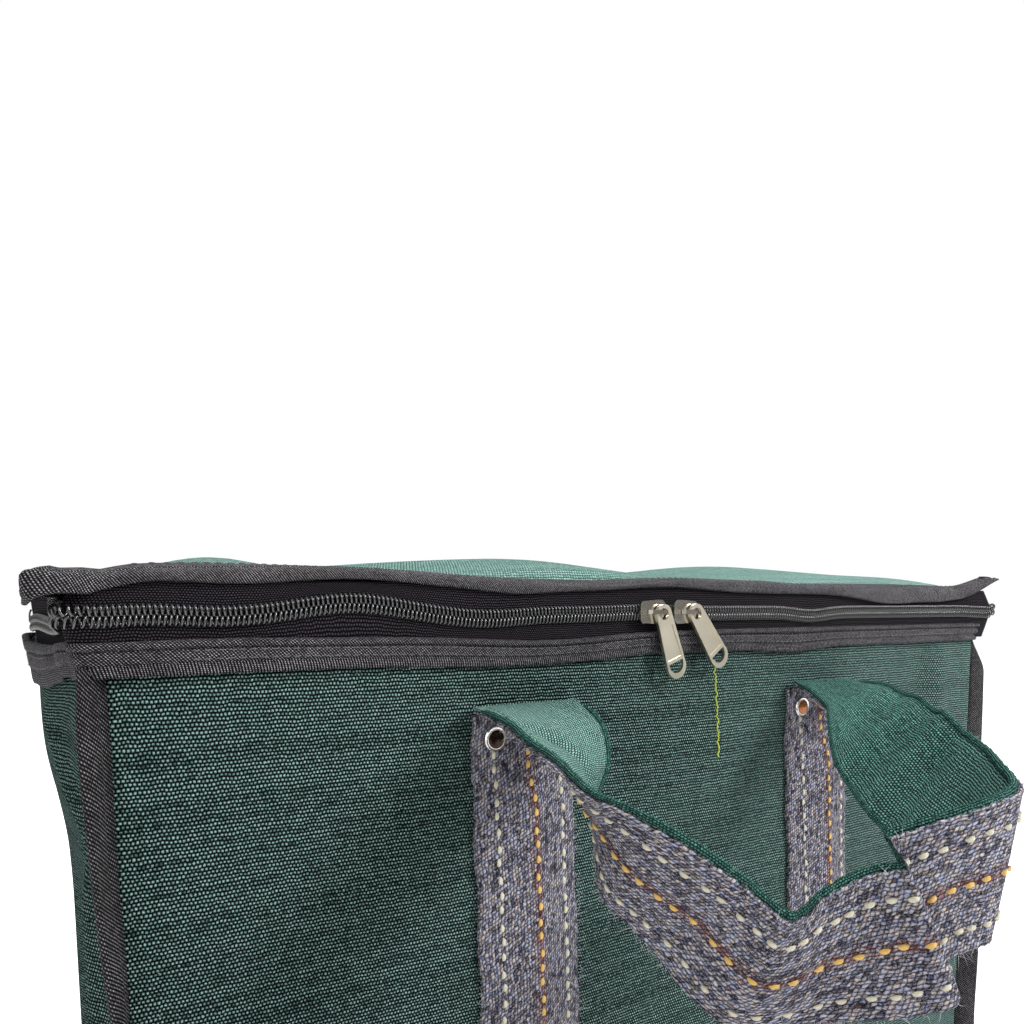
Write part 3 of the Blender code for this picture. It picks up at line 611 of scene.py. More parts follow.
# ------------------------------------------------------------------ bound corner seams
# At each corner the two panels' raw edges stand out in a flange, folded into black tape and sewn through.
# The flange is limp: it turns flatter to the face as it falls, and waves a little down its length.
FLANGE = 0.0125
for label, sx, sy in (("front_left", -1, -1), ("front_right", 1, -1), ("back_left", -1, 1), ("back_right", 1, 1)):
    low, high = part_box("corner_binding_" + label)
    levels = np.linspace(low.z, high.z + 0.0035, 150)
    rows = []
    for z in levels:
        fall = float(ramp(z, 0.300, 0.120))
        start, end, short = {"front_left": (50, 78, 0.95), "front_right": (14, 44, 0.15)}.get(label, (98, 92, 0.8))
        turn = math.radians(start + (end - start) * fall) + 0.05 * math.sin(z * 43 + sx) + 0.03 * math.sin(z * 97 + sy)
        tuck = float(ramp(z, high.z + 0.004, high.z - 0.020))
        long = FLANGE * (short + (1 - short) * tuck)
        half = 0.0013 * (0.7 + 0.3 * tuck)
        outline = [(0.0002, -half), (long * 0.35, -half * 0.80), (long * 0.42, -half), (long * 0.7, -half * 1.05)]
        outline += [(long - half + half * math.cos(a), half * 0.95 * math.sin(a))
                    for a in np.radians(np.linspace(-70, 70, 5))]
        outline += [(long * 0.7, half * 1.05), (long * 0.42, half), (long * 0.35, half * 0.80), (0.0002, half)]
        shift = float(drag(np.array(sx * HALF_WIDE), np.array(sy * HALF_DEEP), np.array(z)))
        row = []
        for a, b in outline:
            wave = 0.0007 * math.sin(z * 90 + a * 300) * a / FLANGE
            u, v = ROUND + a, b + wave
            row.append((sx * (HALF_WIDE - ROUND + u * math.cos(turn) - v * math.sin(turn)) + shift,
                        sy * (HALF_DEEP - ROUND + u * math.sin(turn) + v * math.cos(turn)), z))
        rows.append(row)
    skin("corner_tape_" + label, rows, False, True, flange_tape, "bag", ("corner_binding_" + label,),
                           "binding", flip=sx * sy > 0)

# ------------------------------------------------------------------ mouth of the bag
# The walls end in a band of three black tapes, one over the other. From behind it rises the lower half of
# a coil zip, which runs round the front and both ends. A strip of tape along the back is the lid's hinge.
rim_low, rim_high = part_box("rim_binding")
tape_low, tape_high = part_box("lower_zip_tape")
BAND_IN, BAND_OUT = 0.0014, rim_high.x - HALF_WIDE
TAPE_IN, TAPE_OUT = 0.0003, 0.0011
ZIP_Z = (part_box("lower_coil")[1].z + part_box("upper_coil")[0].z) / 2


def at_front(y):
    return ramp(y, -HALF_DEEP + 0.012, -HALF_DEEP + 0.002)


def beak(x, y, reach, wide):
    """How far a mouth piece is dragged out at the front corners, where its layers bunch. Returns x and y."""
    from_corner = np.hypot(np.abs(x) - HALF_WIDE, y + HALF_DEEP)
    pull = reach * np.exp(-((from_corner / wide) ** 2))
    return np.sign(x) * pull * 0.92, -pull * 0.40


def chain_sway(x, y):
    """How far the zip runs above or below a straight line: soft tape, pulled about by its stitching."""
    front = -0.0007 + 0.0045 * bump(x, -0.163, 0.026) - 0.0014 * bump(x, -0.108, 0.020)
    front = front + 0.0007 * bump(x, -0.030, 0.020) - 0.0018 * bump(x, 0.082, 0.016)
    front = front - 0.0012 * ramp(x, 0.215, 0.245) + 0.0010 * bump(x, -0.225, 0.012)
    ends = 0.0010 * np.sin(y * 55 + np.sign(x) * 0.9) - 0.0030 * bump(y, -0.066, 0.018) * (x < 0)
    ends = ends - 0.0034 * ramp(y, -0.050, 0.010) * (x < 0)
    return np.where(np.abs(x) < HALF_WIDE - 0.004, front * at_front(y), 0) + ends * (1 - at_front(y)) * (y < 0.078)


def left_end(px):
    """1 along the bag's left end, 0 along its front."""
    return ramp(-px, HALF_WIDE - ROUND - 0.0010, HALF_WIDE - 0.0002)


def rim_sway(x, y, z):
    share = (z - rim_low.z) / (rim_high.z - rim_low.z)
    top = 0.0008 * bump(x, -0.205, 0.030) - 0.0028 * bump(x, -0.080, 0.042) - 0.0003
    foot = -0.0024 * bump(x, -0.090, 0.050) - 0.0022 * bump(x, 0.070, 0.025) + 0.0008 * bump(x, -0.026, 0.014)
    ends = 0.0010 * np.sin(y * 48 + np.sign(x))
    return (top * share + foot * (1 - share)) * at_front(y) + ends * (1 - at_front(y)) * ramp(y, 0.084, 0.066)


def rim_shift(x, y, z, pts, outs_xy):
    z2 = z + rim_sway(x, y, z)
    fold = 0.0016 * np.maximum(bump(y, -0.074, 0.006), bump(y, -0.050, 0.008) * 0.6) * (np.abs(x) > HALF_WIDE - 0.002)
    fold = fold + 0.0008 * np.sin(pts[:, None, 0] * 31 + 2) * at_front(y) * 0.5
    share = (z - rim_low.z) / (rim_high.z - rim_low.z)
    px, py = pts[:, None, 0], pts[:, None, 1]
    bx, by = beak(px, py, np.where(px < 0, 0.0066 + 0.0010 * share, 0.0012), 0.012)
    hang = left_end(px) * ramp(py, 0.040, -0.040) * ramp(py, -HALF_DEEP + 0.002, -HALF_DEEP + 0.018)
    z2 = z2 - (0.0008 + 0.0016 * (1 - share)) * hang
    bx = bx - (0.0016 + 0.0014 * np.sin(py * 160)) * hang + splay(px, py, z)
    z2 = z2 - (0.0042 + 0.0085 * (1 - share)) * sag(px, py)
    pucker = 0.0010 * np.sin(pts[:, None, 0] * 900 + z * 200) * bump(pts[:, None, 0], -HALF_WIDE + 0.010, 0.010)
    fold = fold + pucker * at_front(y)
    return x + outs_xy[:, None, 0] * fold + bx, y + outs_xy[:, None, 1] * fold + by, z2


def rolled(low, high, out, inner=BAND_IN, points=9):
    """Section of one tape on edge: flat where it lies on the one below, rounded outside."""
    mid, half = (low + high) / 2, (high - low) / 2
    arc = [(inner + (out - inner) * math.cos(a) ** 0.6, mid + half * math.sin(a))
           for a in np.radians(np.linspace(-88, 88, points))]
    return [(inner, high - 0.0001)] + [(inner, low + 0.0001)] + arc


tall = rim_high.z - rim_low.z
for tag, a, b, out, mat in (("foot_tape", 0.00, 0.40, 0.0028, tape), ("middle_tape", 0.33, 0.79, 0.0036, twill),
                            ("roll", 0.74, 1.00, 0.0044, twill)):
    section = rolled(rim_low.z + tall * a, rim_low.z + tall * b, out)
    edge_run(section, "bag", "rim_" + tag, mat, ("rim_binding",), "binding", 0.0025, rim_shift)

weave_black, tree, shader = new_material("zip_tape", (0.02, 0.02, 0.02), 0.9)
shader.inputs["Specular IOR Level"].default_value = 0.08
lay = lay_of(tree)
fine = use(tree, plain_weave, Lay=lay, Warp_pitch=0.00050, Weft_pitch=0.00085, Slub=0.6)
fuzz = noise(tree, lay, 3000.0, 3.0)
share = calc(tree, "MULTIPLY", calc(tree, "MULTIPLY", calc(tree, "POWER", fine.outputs["Height"], 4.0), fuzz), 1.6)
tree.links.new(blend_colour(tree, share, (0.0008, 0.0006, 0.0010), (0.088, 0.076, 0.092)), shader.inputs["Base Color"])
relief(tree, shader, calc(tree, "ADD", fine.outputs["Height"], fuzz), 0.0003)

BACK_Y = tape_high.y


def zip_line(step=0.003):
    """The part of the plan that the zip follows: up the left end, along the front, down the right end."""
    pts, outs_xy = ring(step, 13)
    first = min(i for i in range(len(pts)) if pts[i, 0] < 0 and pts[i, 1] < BACK_Y and outs_xy[i, 1] <= 0.001)
    last = max(i for i in range(len(pts)) if pts[i, 0] > 0 and pts[i, 1] < BACK_Y and outs_xy[i, 1] <= 0.001)
    pts, outs_xy = pts[first:last + 1], outs_xy[first:last + 1]
    pts = np.vstack([[-HALF_WIDE, BACK_Y], pts, [HALF_WIDE, BACK_Y]])
    outs_xy = np.vstack([[-1, 0], outs_xy, [1, 0]])
    dragged = np.stack(beak(pts[:, 0], pts[:, 1], np.where(pts[:, 0] < 0, 0.0100, 0.0125), 0.014), 1)
    dragged[:, 0] -= 0.0068 * left_end(pts[:, 0]) * bump(pts[:, 1], -0.066, 0.020)
    return pts, outs_xy, dragged


def zip_strip(name, low, high, edge_share, body, stands_for, bow):
    """One tape of the zip. Edge_share is 1 at heights that follow the coil fully and 0 at the sewn edge."""
    pts, outs_xy, dragged = zip_line(0.002)
    levels = np.linspace(low, high, 9)
    share = np.interp(levels, *edge_share)
    swell = bow * np.sin(np.pi * np.linspace(0, 1, 9))
    rows_out = TAPE_OUT + swell
    rows_in = TAPE_IN + swell
    outward = np.concatenate([rows_out, rows_in[::-1]])
    up = np.concatenate([levels, levels[::-1]])
    share = np.concatenate([share, share[::-1]])
    x = pts[:, None, 0] + outs_xy[:, None, 0] * outward
    y = pts[:, None, 1] + outs_xy[:, None, 1] * outward
    near_coil = (up - min(levels)) / (max(levels) - min(levels))
    near_coil = near_coil if body == "bag" else 1 - near_coil
    pulled = dragged[:, None] * (0.55 + 0.45 * near_coil)[None, :, None]
    x, y = x + pulled[:, :, 0] + LID_SPLAY * splay(pts[:, :1], pts[:, 1:], up), y + pulled[:, :, 1]
    z = up + chain_sway(pts[:, 0], pts[:, 1])[:, None] * share
    strip = skin(name, np.stack([x, y, z], 2), False, True, weave_black, body, stands_for, "zip_tape", flip=True)
    long = np.linalg.norm(np.diff(pts, axis=0), axis=1).sum()
    return strip


zip_strip("lower_tape", tape_low.z, ZIP_Z - 0.0003, ((rim_high.z - 0.003, ZIP_Z - 0.004), (0, 1)), "bag",
          ("lower_zip_tape",), 0.0001)


def tube(path, radius, across, sides):
    """Verts and faces of a round section carried along a path. Across is a rough sideways direction."""
    path = np.asarray(path)
    radius = np.broadcast_to(radius, len(path))[:, None, None]
    along = unit(np.gradient(path, axis=0))
    first = unit(across - (across * along).sum(1)[:, None] * along)
    second = np.cross(along, first)
    angles = np.linspace(0, 2 * math.pi, sides, endpoint=False)
    loops = path[:, None] + radius * (first[:, None] * np.cos(angles)[None, :, None]
                                      + second[:, None] * np.sin(angles)[None, :, None])
    n = len(path)
    i, j = np.meshgrid(np.arange(n - 1), np.arange(sides), indexing="ij")
    i, j = i.ravel(), j.ravel()
    k = (j + 1) % sides
    faces = np.stack([i * sides + j, i * sides + k, (i + 1) * sides + k, (i + 1) * sides + j], 1).tolist()
    faces.append(list(range(sides))[::-1])
    faces.append([(n - 1) * sides + s for s in range(sides)])
    return loops.reshape(-1, 3), faces


COIL_PITCH = 0.00170
COIL_WIRE = 0.00040
nylon, tree, shader = new_material("nylon_coil", (0.012, 0.012, 0.013), 0.30, Coat_Weight=1.0, Coat_Roughness=0.12)
shader.inputs["Specular IOR Level"].default_value = 1.0
rub = noise(tree, own_place(tree), 900.0, 3.0)
tree.links.new(blend_colour(tree, rub, (0.008, 0.008, 0.009), (0.030, 0.029, 0.031)), shader.inputs["Base Color"])
tree.links.new(calc(tree, "MULTIPLY_ADD", rub, 0.20, 0.12), shader.inputs["Roughness"])


def coil_row(name, side, body, stands_for):
    """One row of teeth: a flattened spiral of nylon line. Its heads reach the middle, half a pitch apart."""
    pts, outs_xy, dragged = zip_line(0.001)
    line = pts + dragged
    line[:, 0] += LID_SPLAY * splay(pts[:, 0], pts[:, 1], ZIP_Z)
    gaps = np.linalg.norm(np.diff(line, axis=0), axis=1)
    walked = np.concatenate([[0], np.cumsum(gaps)])
    turns = int(walked[-1] / COIL_PITCH) - 2
    t = np.linspace(0, turns, turns * 12 + 1)
    s = (t + 1 + (0.25 if side > 0 else -0.25)) * COIL_PITCH
    px, py = np.interp(s, walked, line[:, 0]), np.interp(s, walked, line[:, 1])
    ox, oy = np.interp(s, walked, outs_xy[:, 0]), np.interp(s, walked, outs_xy[:, 1])
    angle = 2 * math.pi * t
    reach = 0.0036 - COIL_WIRE
    up = side * (reach / 2 + 0.0001) + side * reach / 2 * np.cos(angle)
    out = TAPE_OUT + 0.0011 + 0.00090 * np.sin(angle)
    z = ZIP_Z + up + np.interp(s, walked, chain_sway(pts[:, 0], pts[:, 1]))
    path = np.stack([px + ox * out, py + oy * out, z], 1)
    girth = COIL_WIRE * (1 + 0.45 * np.maximum(-np.cos(angle), 0) ** 4)
    verts, faces = tube(path, girth, np.stack([ox, oy, ox * 0], 1), 6)
    return add_piece(name, verts, faces, None, nylon, body, stands_for, "coil")


coil_row("lower_coil_row", -1, "bag", ("lower_coil",))

# ------------------------------------------------------------------ lid
# One layer of canvas, cut to the plan of the bag and bound round its edge with black tape. It is slack, so
# it rises in soft humps. The upper half of the zip hangs from its binding.
lid_low, lid_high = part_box("lid_binding")
plate_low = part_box("lid_panel")[0]


def lid_edge_top(x, y):
    front = 0.0019 * bump(x, -0.168, 0.040) - 0.0016 * bump(x, -0.090, 0.026) + 0.0004 * bump(x, -0.002, 0.030)
    front = front - 0.0013 * ramp(x, 0.050, 0.080) - 0.0024 * bump(x, -0.050, 0.028)
    return front * at_front(y) + 0.0012 * np.sin(x * 31 + y * 40) * (1 - at_front(y)) * ramp(y, 0.084, 0.066)


def lid_edge_foot(x, y):
    front = 0.0036 * bump(x, -0.162, 0.038) - 0.0012 * bump(x, -0.094, 0.016) + 0.0023 * bump(x, -0.015, 0.034)
    front = front - 0.0048 * bump(x, 0.150, 0.034) - 0.0030 * bump(x, 0.200, 0.026) + 0.0019 * bump(x, -0.223, 0.017)
    return front * at_front(y) - 0.0010 * (1 - at_front(y)) * ramp(np.abs(x), 0.1, 0.2) * (y < 0.06)


LID_CROWN = ((-0.240, 0.0015), (-0.220, 0.0060), (-0.200, 0.0128), (-0.172, 0.0050), (-0.105, 0.0092), (-0.063, 0.0118),
             (0.010, 0.0055), (0.066, 0.0117), (0.142, 0.0080), (0.200, 0.0096), (0.232, 0.0050), (0.240, 0.0015))


def lid_height(x, y):
    """Height of the top of the lid's canvas: it springs from the binding, then lies in broad humps."""
    inward = np.minimum(HALF_WIDE - np.abs(x), HALF_DEEP - np.abs(y))
    crown = sum(np.interp(x + d, [a for a, _ in LID_CROWN], [b for _, b in LID_CROWN])
                for d in (-0.014, -0.007, 0, 0.007, 0.014)) / 5
    crown = crown * (0.55 + 0.45 * bump(y, -0.030, 0.055)) + 0.0022 * np.sin(x * 27 + 1.3) * bump(y, 0.040, 0.035)
    spring = 1 - np.exp(-np.maximum(inward - 0.002, 0) / 0.013)
    return lid_high.z + lid_edge_top(x, y) - 0.0008 + crown * spring


plan = sheet_points(HALF_WIDE + 0.0010, HALF_DEEP + 0.0010, ROUND, 161, 61)
tops = lid_height(plan[:, :, 0], plan[:, :, 1])
plan[:, :, 0] += LID_SPLAY * splay(plan[:, :, 0], plan[:, :, 1], lid_high.z)
# The lid's canvas is a lighter, lower-contrast copy of the wall canvas: painted light and sheen on the lid's upturned
# top.
lid_canvas = canvas_material("lid_canvas", (0.110, 0.230, 0.195), (0.34, 0.56, 0.50), (0.39, 0.60, 0.54),
                             fade=0.6, deep=1.2)
lid_cloth = slab("lid_cloth", plan, tops - CANVAS, tops, lid_canvas, "lid", ("lid_panel",), "canvas")


def lid_shift(x, y, z, pts, outs_xy):
    share = np.clip((z - lid_low.z) / (lid_high.z - lid_low.z), 0, 1)
    lift = lid_edge_top(x, y) * share + lid_edge_foot(x, y) * (1 - share)
    px, py = pts[:, None, 0], pts[:, None, 1]
    bx, by = beak(px, py, np.where(px < 0, 0.0098, 0.0080), 0.0100)
    bx2, by2 = beak(px, py, 0.0062, 0.022)
    hang = left_end(px) * ramp(py, -0.030, -0.066)
    bx = bx - 0.0052 * hang + LID_SPLAY * splay(px, py, z)
    far = np.where(px < 0, 0.0020, 0.0080) * bump(np.hypot(np.abs(px) - HALF_WIDE, py - HALF_DEEP), 0, 0.006)
    out = far + 0.0012 * bump(x, 0.150, 0.040) * (1 - share) * at_front(y)
    near = np.exp(-((np.hypot(np.abs(px) - HALF_WIDE, py + HALF_DEEP) / 0.0110) ** 2))
    near = np.where(px < 0, np.maximum(near, hang), near)
    curl = np.where(px > 0, 0.0066 + 0.0034 * (1 - share), -0.0024)
    tip = np.exp(-((np.hypot(np.abs(px) - HALF_WIDE, py + HALF_DEEP) / 0.0075) ** 2)) * (px < 0)
    inward = (pts[:, None, 0] - x) * outs_xy[:, None, 0] + (pts[:, None, 1] - y) * outs_xy[:, None, 1]
    flap = np.maximum(inward, 0) * (0.06 + 0.20 * bump(px, -0.208, 0.024)) * at_front(py) * (share > 0.9)
    walk = np.abs(px + HALF_WIDE) - (py + HALF_DEEP)
    crumple = (0.0011 * np.sin(walk * 420 + 0.6) + 0.0005 * np.sin(walk * 980 + z * 500)) * near * (px < 0)
    out = out + 0.0016 * np.sin(walk * 520 + z * 260) * near * (px < 0)
    z2 = z + lift + curl * near + flap + crumple - 0.0026 * (1 - share) * tip
    return x + outs_xy[:, None, 0] * out + bx + bx2, y + outs_xy[:, None, 1] * out + by + by2, z2


tall = lid_high.z - lid_low.z
section = [(-0.0072, lid_high.z - 0.0002), (-0.0030, lid_high.z - 0.0002), (BAND_IN, lid_high.z - 0.0016)]
section += [(BAND_IN, lid_low.z + 0.0004)]
section += [((BAND_IN + BAND_OUT) / 2 + 0.0011 * math.cos(a), lid_low.z + 0.0006 + 0.0008 * math.sin(a))
            for a in np.radians((-120, -90, -50, -20))]
section += [(BAND_OUT + 0.0002, lid_low.z + tall * f) for f in (0.25, 0.45, 0.65)]
section += [(BAND_OUT - 0.0002, lid_low.z + tall * 0.85), (BAND_OUT - 0.0008, lid_high.z + 0.0001)]
section += [(BAND_OUT - 0.0022, lid_high.z + 0.0006), (0.0008, lid_high.z + 0.0006), (-0.0002, lid_high.z - 0.0009)]
section += [(-0.0012, lid_high.z + 0.0009), (-0.0040, lid_high.z + 0.0011), (-0.0072, lid_high.z + 0.0008)]
lid_tape = edge_run(section, "lid", "lid_binding_tape", lid_twill, ("lid_binding",), "binding", 0.0025, lid_shift)
zip_strip("upper_tape", ZIP_Z + 0.0003, plate_low.z, ((ZIP_Z + 0.004, lid_low.z + 0.002), (1, 0)), "lid",
          ("upper_zip_tape",), 0.0001)
coil_row("upper_coil_row", 1, "lid", ("upper_coil",))


def back_line(step=0.004):
    pts, outs_xy = ring(step, 13)
    right = [i for i in range(len(pts)) if pts[i, 0] > 0 and (pts[i, 1] > BACK_Y + 0.001)]
    left = [i for i in range(len(pts)) if pts[i, 0] <= 0 and (pts[i, 1] > BACK_Y + 0.001)]
    order = right + left
    return pts[order], outs_xy[order]


pts, outs_xy = back_line()
strip_low, strip_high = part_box("lower_hinge_strip")[0].z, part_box("upper_hinge_strip")[1].z
HINGE_ROWS = 25
levels = np.linspace(strip_low, strip_high, HINGE_ROWS)
outward = np.concatenate([np.full(HINGE_ROWS, TAPE_OUT), np.full(HINGE_ROWS, TAPE_IN)])
up = np.concatenate([levels, levels[::-1]])
x = pts[:, None, 0] + outs_xy[:, None, 0] * outward
y = pts[:, None, 1] + outs_xy[:, None, 1] * outward
hinge = skin("hinge_tape", np.stack([x + LID_SPLAY * splay(x, y, up), y, np.broadcast_to(up, x.shape)], 2),
             False, True, tape, None, ("lower_hinge_strip", "upper_hinge_strip"), "binding", flip=True)
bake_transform(hinge)

# ------------------------------------------------------------------ inner pocket
# A slip pocket of the same canvas hangs inside the front panel. The thread that tacks its mouth to the
# front shows outside as one upright row of thin yellow-green stitches.
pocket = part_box("inner_pocket")
nx, nz = 61, 41
a, b = np.meshgrid(np.linspace(0, 1, nx), np.linspace(0, 1, nz), indexing="ij")
px = pocket[0].x + (pocket[1].x - pocket[0].x) * a
pz = pocket[0].z + (pocket[1].z - pocket[0].z) * b
_, dy = slack(px, np.full_like(px, -HALF_DEEP), pz)
near = np.stack([px, np.full_like(px, pocket[0].y) + dy, pz], 2)
far = np.stack([px, np.full_like(px, pocket[1].y) + dy, pz], 2)
slip = skin("pocket_cloth", np.concatenate([near, far[:, ::-1]], 1), False, True, canvas, "bag",
            ("inner_pocket",), "canvas")


def stitch_row(name, places, alongs, outs3, long, wide, tall, mat, body, slot=None, taper=0.25, sides=6):
    """A run of separate stitches: each is a short fat yarn that dips into the cloth at both ends."""
    steps = np.linspace(-1, 1, 7)
    verts, faces = [], []
    for p, a, o in zip(places, alongs, outs3):
        a = a / np.linalg.norm(a)
        o = o - a * (o @ a)
        o = o / np.linalg.norm(o)
        w = np.cross(a, o)
        start = len(verts)
        for s in steps:
            girth = math.sqrt(max(0.0, 1 - abs(s) ** 3)) * (1 - taper) + taper * (1 - abs(s))
            sink = -tall * 0.6 * abs(s) ** 4
            for k in range(sides):
                c = 2 * math.pi * k / sides
                verts.append(p + a * (s * long / 2) + w * (math.cos(c) * wide / 2 * girth)
                             + o * (math.sin(c) * tall / 2 * girth + tall * 0.3 + sink))
        for i in range(len(steps) - 1):
            for k in range(sides):
                q = (k + 1) % sides
                faces.append((start + i * sides + k, start + i * sides + q,
                              start + (i + 1) * sides + q, start + (i + 1) * sides + k))
        faces.append(tuple(start + k for k in range(sides))[::-1])
        faces.append(tuple(start + (len(steps) - 1) * sides + k for k in range(sides)))
    return add_piece(name, np.array(verts), faces, None, mat, body, (), slot)


def yarn_material(name, dark, light, scale=2500.0, rough=0.9):
    """Soft spun thread, mottled along its length."""
    mat, tree, shader = new_material(name, light, rough, Sheen_Weight=0.2, Sheen_Roughness=0.5)
    place = own_place(tree)
    mottle = noise(tree, place, scale, 3.0, 0.6)
    tree.links.new(blend_colour(tree, mottle, dark, light), shader.inputs["Base Color"])
    relief(tree, shader, mottle, 0.0003)
    return mat


SEAM_STITCH = (0.0027, 0.00045, 0.0005)   # length, width and thickness
black_thread = yarn_material("black_thread", (0.010, 0.009, 0.010), (0.20, 0.19, 0.20), 900.0, 0.5)
pts, outs_xy = ring(0.0035)
keep = (pts[:, 1] < 0.078) & (np.hypot(np.abs(pts[:, 0]) - HALF_WIDE, pts[:, 1] + HALF_DEEP) > 0.022)
px, py, ox, oy = pts[keep, 0], pts[keep, 1], outs_xy[keep, 0], outs_xy[keep, 1]
for tag, height, out in (("upper", 0.68, 0.0036), ("lower", 0.44, 0.0034)):
    z = np.full_like(px, rim_low.z + (rim_high.z - rim_low.z) * height)
    moved = rim_shift((px + ox * out)[:, None], (py + oy * out)[:, None], z[:, None],
                      np.stack([px, py], 1), np.stack([ox, oy], 1))
    places = np.concatenate(moved, 1)
    stitch_row("rim_seam_" + tag, places, np.stack([-oy, ox, 0 * ox], 1), np.stack([ox, oy, 0 * ox], 1), *SEAM_STITCH,
               black_thread, "bag", "binding")
keep = (np.abs(pts[:, 0]) < HALF_WIDE - 0.012) & (pts[:, 1] < 0)
px, py = pts[keep, 0], pts[keep, 1] + 0.0052
z = np.full_like(px, lid_high.z + 0.0011)
moved = lid_shift(px[:, None], py[:, None], z[:, None], pts[keep], outs_xy[keep])
stitch_row("lid_seam", np.concatenate(moved, 1), np.tile([1.0, 0, 0], (len(px), 1)),
           np.tile([0, -0.4, 1.0], (len(px), 1)), *SEAM_STITCH, black_thread, "lid", "binding")
tack_thread = yarn_material("tack_thread", (0.30, 0.42, 0.02), (0.75, 0.85, 0.10))
count = 26
tz = np.linspace(0.3045, 0.2610, count)
tx = 0.0165 + 0.0016 * (0.3045 - tz) / 0.0435 + 0.0004 * np.sin(np.arange(count) * 1.7)
_, dy = slack(tx, np.full(count, -HALF_DEEP), tz)
places = np.stack([tx, -HALF_DEEP - 0.0001 + dy, tz], 1)
leans = np.stack([0.75 * np.sin(np.arange(count) * 2.6), np.zeros(count), np.full(count, -1.0)], 1)
stitch_row("tack_stitches", places, leans, np.tile([0, -1.0, 0], (count, 1)), 0.0027, 0.0007, 0.0008, tack_thread,
           "bag", "webbing")

# ------------------------------------------------------------------ straps and rivets
# Straps of hand-woven webbing in grey heather, with two rows of cream floats and a middle row of yellow
# ones, sewn up each face. Two hollow rivets pin the top of each strap, where its handle begins.
webbing_group, ins, outs = new_group(
    "Heather webbing",
    [("Lay", VECTOR, None), ("Yarn pitch", FLOAT, 0.00130), ("Pick pitch", FLOAT, 0.00165), ("Wander", FLOAT, 1.2)],
    [("Height", FLOAT), ("Tone", FLOAT), ("Fleck", FLOAT), ("Hue", FLOAT), ("Hollow", FLOAT)])
t = webbing_group
parts = split(t, ins.outputs["Lay"])
drift = split(t, noise(t, ins.outputs["Lay"], 300.0, 2.0, 0.6, True))


def pick_place(axis, pitch, amount):
    away = calc(t, "MULTIPLY", calc(t, "SUBTRACT", drift[axis], 0.5), ins.outputs["Wander"])
    return calc(t, "ADD", calc(t, "DIVIDE", parts[axis], ins.outputs[pitch]), calc(t, "MULTIPLY", away, amount))


v = pick_place(1, "Yarn pitch", 1.4)
col = calc(t, "FLOOR", v)
u = calc(t, "ADD", pick_place(0, "Pick pitch", 1.2), calc(t, "MULTIPLY", calc(t, "FLOORED_MODULO", col, 2.0), 0.5))
u = calc(t, "MULTIPLY_ADD", calc(t, "SUBTRACT", v, col), 0.42, u)
row = calc(t, "FLOOR", u)
fv = calc(t, "MULTIPLY", calc(t, "SUBTRACT", calc(t, "SUBTRACT", v, col), 0.5), 2.0)
fu = calc(t, "MULTIPLY", calc(t, "SUBTRACT", calc(t, "SUBTRACT", u, row), 0.5), 2.0)
dome_v = calc(t, "SUBTRACT", 1.0, calc(t, "POWER", calc(t, "ABSOLUTE", fv), 2.0))
dome_u = calc(t, "SUBTRACT", 1.0, calc(t, "POWER", calc(t, "ABSOLUTE", fu), 2.6))
lie = calc(t, "POWER", calc(t, "MAXIMUM", calc(t, "MULTIPLY", dome_v, dome_u), 0.0), 0.80)
each = dice(t, join(t, col, row, 2.0))
fibres = noise(t, join(t, calc(t, "MULTIPLY", u, 1.5), calc(t, "MULTIPLY", v, 5.0), 0.0), 1.0, 4.0, 0.7)
broad = noise(t, join(t, calc(t, "MULTIPLY", u, 0.12), calc(t, "MULTIPLY", v, 0.5), 4.0), 1.0, 3.0, 0.6)
grit = noise(t, ins.outputs["Lay"], 1500.0, 4.0, 0.8)
tone = calc(t, "MULTIPLY_ADD", each, 0.26, calc(t, "MULTIPLY_ADD", fibres, 0.66, calc(t, "MULTIPLY", broad, 0.26)))
tone = calc(t, "MULTIPLY_ADD", grit, 0.88, tone)
t.links.new(lie, outs.inputs["Height"])
t.links.new(calc(t, "SUBTRACT", tone, 0.505), outs.inputs["Tone"])
spark = noise(t, join(t, calc(t, "MULTIPLY", u, 1.1), calc(t, "MULTIPLY", v, 2.6), 9.0), 1.0, 2.0, 0.7)
t.links.new(calc(t, "MULTIPLY", calc(t, "SUBTRACT", spark, 0.59), 12.0), outs.inputs["Fleck"])
t.links.new(dice(t, join(t, row, col, 5.0)), outs.inputs["Hue"])
t.links.new(calc(t, "SUBTRACT", 1.0, lie), outs.inputs["Hollow"])


